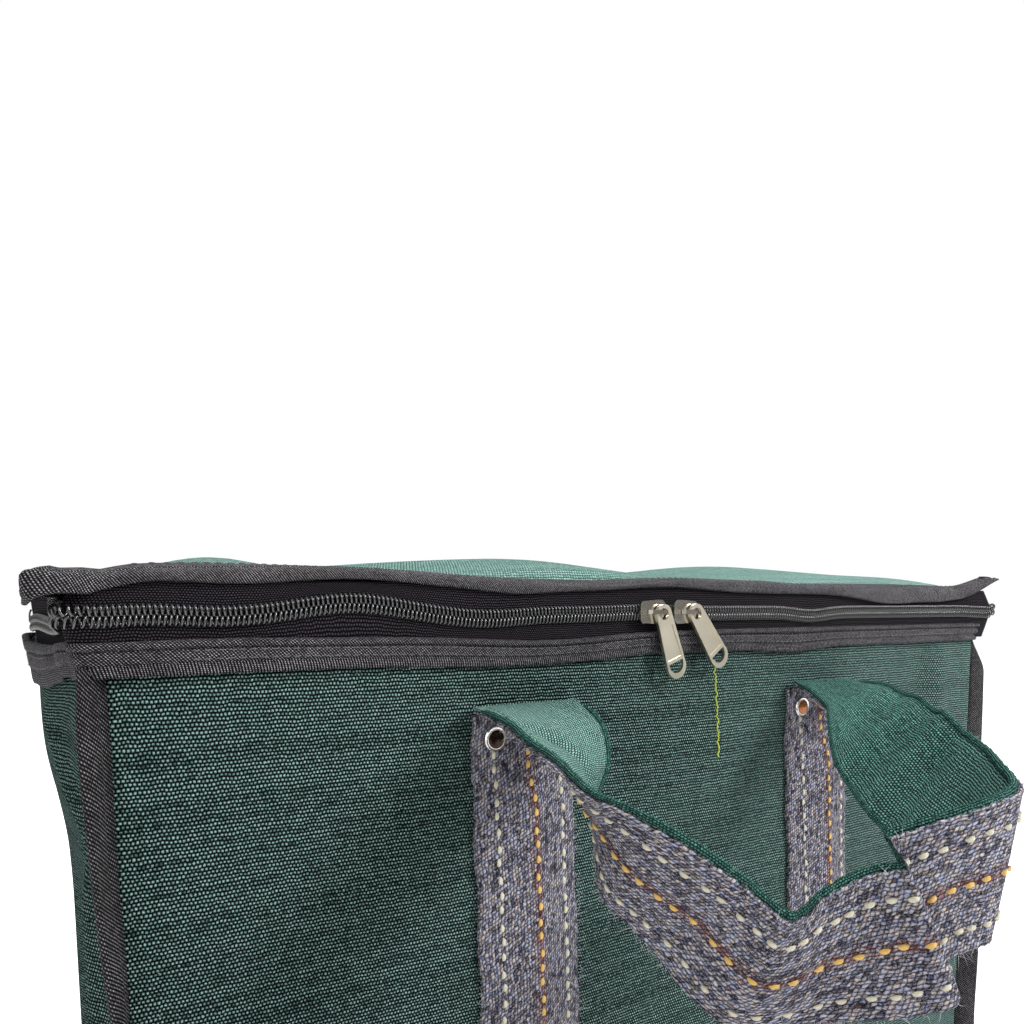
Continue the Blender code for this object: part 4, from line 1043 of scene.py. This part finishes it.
def webbing_material(name, middle, level):
    """Grey heather: charcoal to pale grey yarns with navy, rust and white fibres; middle is V at the centre row. Level
    sets how light the pale yarns are, so copies at different levels carry painted light.
    """
    mat, tree, shader = new_material(name, (0.2, 0.19, 0.22), 0.95, Sheen_Weight=0.04, Sheen_Roughness=0.4)
    shader.inputs["Specular IOR Level"].default_value = 0.04
    lay = lay_of(tree)
    cloth = use(tree, webbing_group, Lay=lay)
    ladder = tree.nodes.new("ShaderNodeValToRGB")
    ladder.color_ramp.elements[0].position = 0.36
    ladder.color_ramp.elements[0].color = (0.014, 0.015, 0.034, 1)
    ladder.color_ramp.elements[1].position = 0.60
    ladder.color_ramp.elements[1].color = (level, level * 0.97, level, 1)
    mid = ladder.color_ramp.elements.new(0.49)
    mid.color = (0.42 * level, 0.405 * level, 0.455 * level, 1)
    tree.links.new(cloth.outputs["Tone"], ladder.inputs["Fac"])
    hue = tree.nodes.new("ShaderNodeValToRGB")
    hue.color_ramp.interpolation = "CONSTANT"
    hue.color_ramp.elements[0].color = (0.020, 0.035, 0.150, 1)
    hue.color_ramp.elements[1].position = 0.36
    hue.color_ramp.elements[1].color = (0.92, 0.92, 0.95, 1)
    for at, tint in ((0.66, (0.16, 0.07, 0.05)), (0.78, (0.10, 0.16, 0.38)), (0.93, (0.50, 0.11, 0.10))):
        stop = hue.color_ramp.elements.new(at)
        stop.color = (*tint, 1)
    tree.links.new(cloth.outputs["Hue"], hue.inputs["Fac"])
    fleck = calc(tree, "MINIMUM", calc(tree, "MAXIMUM", cloth.outputs["Fleck"], 0.0), 0.75)
    body = blend_colour(tree, fleck, ladder.outputs["Color"], hue.outputs["Color"])
    away = calc(tree, "ABSOLUTE", calc(tree, "SUBTRACT", split(tree, lay)[1], middle))
    lane = calc(tree, "MAXIMUM", calc(tree, "SUBTRACT", 1.0, calc(tree, "MULTIPLY", away, 270.0)), 0.0)
    mix = calc(tree, "MULTIPLY_ADD", lane, 0.16, noise(tree, lay, 620.0, 3.0, 0.7))
    warm = calc(tree, "MINIMUM", calc(tree, "MAXIMUM", calc(
        tree, "MULTIPLY", calc(tree, "SUBTRACT", mix, 0.57), 9.0), 0.0), 0.80)
    warm = calc(tree, "MULTIPLY", warm, calc(tree, "GREATER_THAN", lane, 0.02))
    rust = blend_colour(tree, dice(tree, join(tree, cloth.outputs["Hue"], 1.0)), (0.17, 0.05, 0.05), (0.66, 0.21, 0.17))
    cast = calc(tree, "MULTIPLY_ADD", noise(tree, lay, 420.0, 3.0, 0.6), 5.0, -2.0)
    body = blend_colour(tree, 1.0, body, blend_colour(tree, cast, (0.80, 0.88, 1.16), (1.12, 1.0, 0.90)), "MULTIPLY")
    body = blend_colour(tree, warm, body, rust)
    pit = calc(tree, "MULTIPLY", calc(tree, "POWER", cloth.outputs["Hollow"], 1.12), 0.99)
    body = blend_colour(tree, pit, body, (0.008, 0.008, 0.012))
    tree.links.new(body, shader.inputs["Base Color"])
    hair = noise(tree, lay, 4200.0, 3.0, 0.7)
    relief(tree, shader, calc(tree, "MULTIPLY_ADD", hair, 0.80, cloth.outputs["Height"]), 0.0016)
    return mat


STRAP_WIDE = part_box("strap_front_left")[1].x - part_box("strap_front_left")[0].x
LANE = 0.0155
FLOAT_STEP = 0.0061
ROUNDED = 0.0010


def ribbon_section(wide, low, high, cells, puff=0.0):
    """Section of a woven strip: (across, lift) pairs round it, starting at the back. Returns the pairs."""
    w = wide / 2
    a = np.linspace(-w + ROUNDED * 0.6, w - ROUNDED * 0.6, cells)
    back = [(q, low) for q in a]
    tip = [(w, low + (high - low) * f) for f in (0.3, 0.7)]
    front = [(q, high + puff * (1 - (q / w) ** 2)) for q in a[::-1]]
    tail = [(-w, high + (low - high) * f) for f in (0.3, 0.7)]
    return np.array(back + tip + front + tail)


def lay_middle(wide, low, high, cells):
    """V, in metres round the section, at the middle of the front of a ribbon."""
    s = ribbon_section(wide, low, high, cells)
    gaps = np.linalg.norm(np.diff(s, axis=0), axis=1)
    along = np.concatenate([[0], np.cumsum(gaps)])
    k = cells + 2 + cells // 2
    return along[k] if cells % 2 else (along[k] + along[k - 1]) / 2


strap_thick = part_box("strap_front_left")[1].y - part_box("strap_front_left")[0].y
RIDGE = 0.0062
STRAP_CELLS, HANDLE_CELLS = 33, 41
ridged = 1 + 0.85 * (math.hypot(1, RIDGE / (STRAP_WIDE / 2)) - 1)
webbing_strap = webbing_material("strap_webbing", lay_middle(STRAP_WIDE, 0, strap_thick, STRAP_CELLS) * ridged, 0.92)
cream = yarn_material("cream_cotton", (0.46, 0.42, 0.30), (0.86, 0.82, 0.66))
yellow = yarn_material("yellow_cotton", (0.62, 0.33, 0.06), (0.90, 0.62, 0.20))


def rows_of_floats(label, place, length, body, start=0.004):
    """Floats in three rows. Place(u, s) gives a point, the direction along and the direction out."""
    made = []
    for lane, mat, tag in ((-LANE, cream, "cream_a"), (0.0, yellow, "yellow"), (LANE, cream, "cream_b")):
        ps, als, os_ = [], [], []
        for k in range(int((length - start * 2) / FLOAT_STEP)):
            s = start + FLOAT_STEP * (k + 0.5) + 0.0006 * math.sin(k * 2.3 + lane * 900)
            p, a, o = place(lane + 0.0003 * math.sin(k * 1.9 + lane * 300), s)
            ps.append(p)
            als.append(a)
            os_.append(o)
        made.append(stitch_row(f"{label}_{tag}", ps, als, os_, 0.0035, 0.0021, 0.0011, mat, body, "webbing", 0.30))
    return made


fibre_mat, tree, shader = new_material("loose_fibre", (0.55, 0.54, 0.58), 0.9, Sheen_Weight=0.3)
pick = dice(tree, tree.nodes.new("ShaderNodeNewGeometry").outputs["Random Per Island"])
tree.links.new(blend_colour(tree, pick, (0.20, 0.19, 0.24), (0.80, 0.79, 0.82)), shader.inputs["Base Color"])


def fuzz(name, place, length, count, body):
    """Loose fibres that stand off the wool, most of them along its two edges."""
    verts, faces = [], []
    for _ in range(count):
        s = rng.uniform(0.003, length - 0.003)
        at_edge = rng.random() < 0.62
        side = rng.choice((-1, 1))
        u = side * (STRAP_WIDE / 2 - abs(rng.normal(0, 0.0006))) if at_edge else rng.uniform(-0.5, 0.5) * STRAP_WIDE
        p, a, o = (np.asarray(part, float) for part in place(u, s))
        a = a / np.linalg.norm(a)
        o = o - a * (o @ a)
        o = o / np.linalg.norm(o)
        w = np.cross(a, o)
        outward = w * np.sign((place(u + 0.0005, s)[0] - p) @ w) * side
        long = rng.uniform(0.0014, 0.0046)
        way = outward if at_edge else outward * rng.normal(0, 0.6)
        way = way + a * rng.normal(0, 0.9) + o * rng.uniform(0.2, 0.7)
        way /= np.linalg.norm(way)
        bend = np.cross(way, rng.normal(0, 1, 3)) * rng.uniform(0.3, 1.1)
        x_dir = np.cross(way, o + 0.01)
        x_dir /= np.linalg.norm(x_dir)
        y_dir = np.cross(way, x_dir)
        start = len(verts)
        for k in range(5):
            f = k / 4
            centre = p + way * long * f + bend * long * f * f * 0.5 - o * 0.0002
            thick = 0.000075 * (1.15 - f)
            for j in range(3):
                verts.append(centre + x_dir * thick * math.cos(j * 2.094) + y_dir * thick * math.sin(j * 2.094))
        for k in range(4):
            for j in range(3):
                m = (j + 1) % 3
                faces.append((start + k * 3 + j, start + k * 3 + m, start + k * 3 + 3 + m, start + k * 3 + 3 + j))
        faces.append((start + 2, start + 1, start))
        faces.append((start + 12, start + 13, start + 14))
    return add_piece(name, np.array(verts), faces, None, fibre_mat, body, (), "webbing")


def ridge(across, z):
    """Between its two sewn edges a strap stands proud along the middle, except where it is pinned."""
    share = 1 - np.abs(across) / (STRAP_WIDE / 2)
    return RIDGE * share * float(ramp(z, 0.275, 0.248)) * float(ramp(z, 0.010, 0.050))


for face_name, facing in (("front", -1), ("back", 1)):
    for side_name, sx in (("left", -1), ("right", 1)):
        name = f"strap_{face_name}_{side_name}"
        low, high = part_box(name)
        mid_x = (low.x + high.x) / 2
        levels = np.linspace(low.z, high.z, 150)
        cross = ribbon_section(STRAP_WIDE, 0.0, strap_thick, STRAP_CELLS, 0.0004)
        rows = []
        edge = np.array([0.0002 * math.sin(z * 1310) + 0.0002 * math.sin(z * 530 + sx) + 0.0005 * math.sin(z * 170 + sx)
                         for z in levels])
        for z, e in zip(levels, edge):
            q = cross[:, 0] * (1 + e / (STRAP_WIDE / 2))
            xx = mid_x - facing * q
            _, dy = slack(xx, np.full_like(xx, facing * HALF_DEEP), np.full_like(xx, z))
            yy = facing * (HALF_DEEP + 0.0003 + cross[:, 1] + ridge(q, z)) + dy
            rows.append(np.stack([xx, yy, np.full_like(xx, z)], 1))
        strap = skin(name + "_webbing", rows, False, True, webbing_strap, "bag", (name,), "webbing")

        def place(u, s, mid_x=mid_x, facing=facing, top=high.z):
            z = top - s
            xx = mid_x - facing * u
            _, dy = slack(np.array([xx]), np.array([facing * HALF_DEEP]), np.array([z]))
            point = np.array([xx, facing * (HALF_DEEP + 0.0003 + strap_thick + 0.0004 + float(ridge(u, z))) + dy[0], z])
            return point, np.array([0, 0, -1.0]), np.array([0, facing, 0.0])

        extras = rows_of_floats(name, place, high.z - low.z, "bag", 0.0060)
        extras.append(fuzz(name + "_fuzz", place, high.z - low.z, 480, "bag"))

# ------------------------------------------------------------------ handles
# Each handle is the same webbing, lined with canvas, folded forward over the top of its two straps. It
# hangs in a loop that makes a half turn near its left root, so that the webbing faces out along the front.
LOOP = [
    ((-1.000, 0.000, 0.000), (1.00, 0.00, 0.00)),
    ((-1.033, 0.286, -0.052), (1.00, -0.15, -0.10)),
    ((-1.143, 0.549, -0.151), (0.80, -0.50, -0.20)),
    ((-1.264, 0.802, -0.260), (0.60, -0.75, -0.25)),
    ((-1.297, 1.022, -0.425), (0.25, -0.75, -0.65)),
    ((-1.110, 1.176, -0.623), (0.25, -0.55, -0.85)),
    ((-0.879, 1.352, -0.722), (0.25, -0.35, -0.90)),
    ((-0.626, 1.571, -0.634), (0.05, -0.15, -1.00)),
    ((-0.330, 1.670, -0.491), (-0.05, -0.10, -1.00)),
    ((-0.066, 1.534, -0.435), (-0.10, -0.15, -1.00)),
    ((0.388, 1.070, -0.372), (-0.50, -0.35, -0.82)),
    ((0.769, 0.505, -0.173), (-0.80, -0.35, -0.50)),
    ((1.000, 0.000, 0.000), (-1.00, 0.00, 0.00)),
]
STRAP_X = 0.091
FOLD_Y = HALF_DEEP + 0.0003 + strap_thick + 0.0003
FOLD_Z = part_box("strap_front_left")[1].z + 0.0003 + 0.0015 + 0.0006
WEB_THICK, LINING_THICK, HAIR = 0.0015, 0.0010, 0.0003
LINING_WIDE = STRAP_WIDE + 0.0012
STATIONS = 72
FINE = 640


def catmull(keys, each):
    """A smooth run through rows of numbers, with the given steps between neighbours."""
    ends = np.vstack([2 * keys[0] - keys[1], keys, 2 * keys[-1] - keys[-2]])
    fine = []
    for i in range(1, len(ends) - 2):
        a, b, c, d = ends[i - 1:i + 3]
        for t in np.linspace(0, 1, each, endpoint=False):
            fine.append(0.5 * (2 * b + (c - a) * t + (2 * a - 5 * b + 4 * c - d) * t ** 2
                               + (3 * b - a - 3 * c + d) * t ** 3))
    fine.append(ends[-2])
    return np.array(fine)


def evenly(run, count):
    along = np.concatenate([[0], np.cumsum(np.linalg.norm(np.diff(run[:, :3], axis=0), axis=1))])
    at = np.linspace(0, along[-1], count)
    return np.stack([np.interp(at, along, run[:, k]) for k in range(run.shape[1])], 1), along[-1]


def handle_run():
    """Centre line, direction across and direction to the lining, closely spaced along the front handle."""
    keys = []
    for (px, out, drop), across in LOOP:
        y = -FOLD_Y if out == 0 else -(HALF_DEEP + out * STRAP_X)
        keys.append((px * STRAP_X, y, FOLD_Z + drop * STRAP_X, across[0], -across[1], across[2]))
    run, _ = evenly(catmull(np.array(keys), 24), STATIONS)
    for _ in range(3):
        run[1:-1] = run[:-2] * 0.25 + run[1:-1] * 0.5 + run[2:] * 0.25
    centre, across = run[:, :3], run[:, 3:]
    along = unit(np.gradient(centre, axis=0))
    step = np.arange(STATIONS)
    square = np.clip(np.minimum(step, STATIONS - 1 - step) / 8, 0, 1)
    square = square * np.clip(0.35 + 0.65 * (step - 14) / 8, 0.35, 1)
    across = unit(across)
    across = unit(across - (square * (across * along).sum(1))[:, None] * along)
    fine, length = evenly(catmull(np.hstack([centre, across]), 8), FINE)
    centre, across = fine[:, :3], unit(fine[:, 3:])
    along = unit(np.gradient(centre, axis=0))
    return centre, across, along, unit(np.cross(along, across)), length


run_centre, run_across, run_along, run_lined, run_length = handle_run()
run_s = np.linspace(0, run_length, FINE)


def handle_point(s, across, lift):
    """A point of the handle: s along it, across its width, lift toward the lining. All broadcast together.

    The front of the loop is creased in a V where the webbing has been carried, has one pleat beside that, and
    the inner edge curls over where it leaves the right strap."""
    s, across, lift = np.broadcast_arrays(s, across, lift)
    c, w, a, n = [np.stack([np.interp(s, run_s, part[:, k]) for k in range(3)], -1)
                  for part in (run_centre, run_across, run_along, run_lined)]
    edge = across / (STRAP_WIDE / 2)
    crease = np.clip(1 - np.sqrt(((s - 0.149) / 0.018) ** 2 + 0.010), 0, 1)
    drop = -0.0044 * crease * (1 - 0.30 * edge ** 2) + 0.0012 * bump(s, 0.178, 0.014) + 0.0046 * bump(s, 0.118, 0.017)
    pleat = ramp(s - 0.0020 * edge, 0.1985, 0.2035)
    drop = drop + 0.0080 * pleat * (1 - ramp(s, 0.204, 0.250))
    push = -0.0034 * crease + 0.0042 * pleat * (1 - ramp(s, 0.206, 0.240)) - 0.0022 * bump(s, 0.197, 0.0045)
    push = push + 0.0027 * np.sin(s * 210 + edge * 2.0) * bump(s, 0.345, 0.050) + 0.0012 * bump(s, 0.300, 0.012)
    push = push + 0.0010 * np.sin(s * 150 + edge * 1.5) * ramp(s, 0.02, 0.06) * ramp(s, run_length, run_length - 0.04)
    back = -0.0068 * pleat * (1 - ramp(s, 0.208, 0.262))
    curl = 0.0120 * bump(s, run_length - 0.030, 0.025) * np.clip(edge, 0, 1) ** 2
    across = across - curl
    push = push + curl * 0.45 - 0.0016 * bump(np.abs(edge), 1.0, 0.25) * bump(s, 0.06, 0.02)
    push = push - 0.0032 * bump(edge - (s - 0.046) / 0.030, 0, 0.20) * bump(s, 0.046, 0.020)
    p = c + w * across[..., None] + n * (lift + push)[..., None] + a * back[..., None]
    p[..., 2] += drop
    return p


# The handle's copy of the webbing is painted lighter than the strap's (level 1.12 against 0.92): painted light on the
# handle.
handle_webbing_painted_lighter = webbing_material("handle_webbing", STRAP_WIDE / 2 - ROUNDED * 0.6, 1.12)
# The lining is painted lighter toward -X (across -4.5, strong fade, a pale faded colour): painted light on its left
# part, which faces up into the lamps.
lining_cloth = canvas_material("lining_canvas", (0.004, 0.022, 0.018), (0.21, 0.50, 0.42), (0.48, 0.77, 0.69),
                               0.00062, 0.00115, 0.75, 2.2, -4.5)


def layer(name, facing, wide, low, high, cells, mat, body, stands_for, slot, wobble):
    cross = ribbon_section(wide, low, high, cells)
    e = wobble * (np.sin(run_s * 1500) * 0.5 + np.sin(run_s * 410 + 1) * 0.5)
    q = cross[None, :, 0] * (1 + e[:, None] / (wide / 2))
    rows = handle_point(run_s[:, None], q, cross[None, :, 1])
    if facing > 0:
        rows[:, :, :2] *= -1
    return skin(name, rows, False, True, mat, body, stands_for, slot)


# The turned edge is a darker copy of the lining canvas: painted shade along the folded edge, which lies in shadow
# beside the webbing.
shaded_hem_cloth = canvas_material("hem_canvas", (0.003, 0.020, 0.016), (0.13, 0.33, 0.28), (0.20, 0.40, 0.34),
                            0.0005, 0.0008, 0.2, 1.3)


def hem(name, facing, side, body):
    """The lining's edge is turned over and stands up as a soft roll beside the webbing."""
    around = np.linspace(0, 2 * math.pi, 9)[:-1]
    root = ramp(run_s, 0.002, 0.016) * ramp(run_s, run_length - 0.002, run_length - 0.016)
    girth = 0.00125 * (1 + 0.10 * np.sin(run_s * 900 + side) + 0.08 * np.sin(run_s * 2300))
    girth = (girth * (0.25 + 0.75 * root))[:, None]
    rows = handle_point(run_s[:, None], side * (STRAP_WIDE / 2 + 0.0002) + girth * np.cos(around),
                        HAIR / 2 + 0.0004 + 0.0007 * root[:, None] + girth * np.sin(around))
    if facing > 0:
        rows[:, :, :2] *= -1
    return skin(name, rows, False, True, shaded_hem_cloth, body, (), "canvas")


lining_thread = yarn_material("lining_thread", (0.012, 0.035, 0.030), (0.10, 0.24, 0.20))
for label, facing in (("front", -1), ("back", 1)):
    body = label + "_handle"
    web = layer(label + "_webbing", facing, STRAP_WIDE, -HAIR / 2 - WEB_THICK, -HAIR / 2, HANDLE_CELLS,
                handle_webbing_painted_lighter, body, (label + "_handle_webbing",), "webbing", 0.0004)
    lined = layer(label + "_lining", facing, LINING_WIDE, HAIR / 2, HAIR / 2 + LINING_THICK, HANDLE_CELLS, lining_cloth,
                  body, (label + "_handle_lining",), "canvas", 0.0003)

    def place(u, s, facing=facing, lift=-HAIR / 2 - WEB_THICK - 0.0002):
        near = handle_point(np.array([s, s + 0.0006, s]), np.array([u, u, u + 0.0006]), lift)
        point, a, w = near[0], near[1] - near[0], near[2] - near[0]
        o = np.cross(a, w) * (-1 if lift < 0 else 1)
        if facing > 0:
            point, a, o = point * (-1, -1, 1), a * (-1, -1, 1), o * (-1, -1, 1)
        return point, a, o

    extras = rows_of_floats(label + "_handle", place, run_length, body, 0.010)
    extras.append(fuzz(label + "_handle_fuzz", place, run_length, 1100, body))
    sewn = [place(u, s, lift=HAIR / 2 + LINING_THICK - 0.0001)
            for u in (-0.0195, 0.0195) for s in np.arange(0.004, run_length - 0.004, 0.0034)]
    seam = stitch_row(label + "_lining_seam", *[np.array(part) for part in zip(*sewn)], 0.0026, 0.0005, 0.0005,
                      lining_thread, body, "canvas")
    hems = [hem(f"{label}_hem_{tag}", facing, side, body) for side, tag in ((-1, "a"), (1, "b"))]

# ------------------------------------------------------------------ rivets, sliders and pulls
# Nickel-plated: domed rivet caps with a rolled rim, two zip sliders meeting near the middle of the front,
# and a flat pull on each, with a raised edge and a hole at the foot.
EYE_RADIUS = 0.0037


def dress(node, mat):
    node.data.materials.clear()
    node.data.materials.append(mat)


def nickel_material(name, low, high, rough, eye=None):
    """Nickel plate. Eye is the centre and the colour of the hollow in a rivet's cap."""
    mat, tree, shader = new_material(name, high, rough, 1.0)
    shape = own_place(tree)
    rub = noise(tree, shape, 55.0, 2.0, 0.5)
    body = blend_colour(tree, rub, low, high)
    rise = noise(tree, shape, 220.0, 2.0)
    if eye:
        (x, z), tint = eye
        at = split(tree, shape)
        flat = join(tree, calc(tree, "SUBTRACT", at[0], x), calc(tree, "SUBTRACT", at[2], z))
        edge = calc(tree, "MULTIPLY", calc(tree, "SUBTRACT", EYE_RADIUS, distance(tree, flat)), 4000.0)
        inside = calc(tree, "MINIMUM", calc(tree, "MAXIMUM", edge, 0.0), 1.0)
        body = blend_colour(tree, inside, body, tint)
        tree.links.new(calc(tree, "SUBTRACT", 1.0, calc(tree, "MULTIPLY", inside, 0.35)), shader.inputs["Metallic"])
        rise = calc(tree, "SUBTRACT", calc(tree, "MULTIPLY", rise, 0.05), inside)
    tree.links.new(body, shader.inputs["Base Color"])
    tree.links.new(calc(tree, "MULTIPLY_ADD", rub, 0.10, rough), shader.inputs["Roughness"])
    relief(tree, shader, rise, 0.0006 if eye else 0.00004)
    return mat


pull_nickel = nickel_material("pull_nickel", (0.72, 0.65, 0.51), (0.84, 0.78, 0.65), 0.28)
slider_nickel = nickel_material("slider_nickel", (0.42, 0.38, 0.32), (0.80, 0.76, 0.68), 0.13)
for name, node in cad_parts.items():
    if name.startswith(("rivet_", "burr_")):
        low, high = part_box(name)
        tint = (0.030, 0.016, 0.010) if "left" in name else (0.33, 0.12, 0.045)
        metal = nickel_material(name + "_nickel", (0.60, 0.57, 0.52), (0.86, 0.84, 0.80), 0.16,
                                (((low.x + high.x) / 2, (low.z + high.z) / 2), tint))
    elif name.endswith("_pull"):
        metal = pull_nickel
    elif name.endswith("_slider"):
        metal = slider_nickel
    else:
        continue
    dress(node, metal)
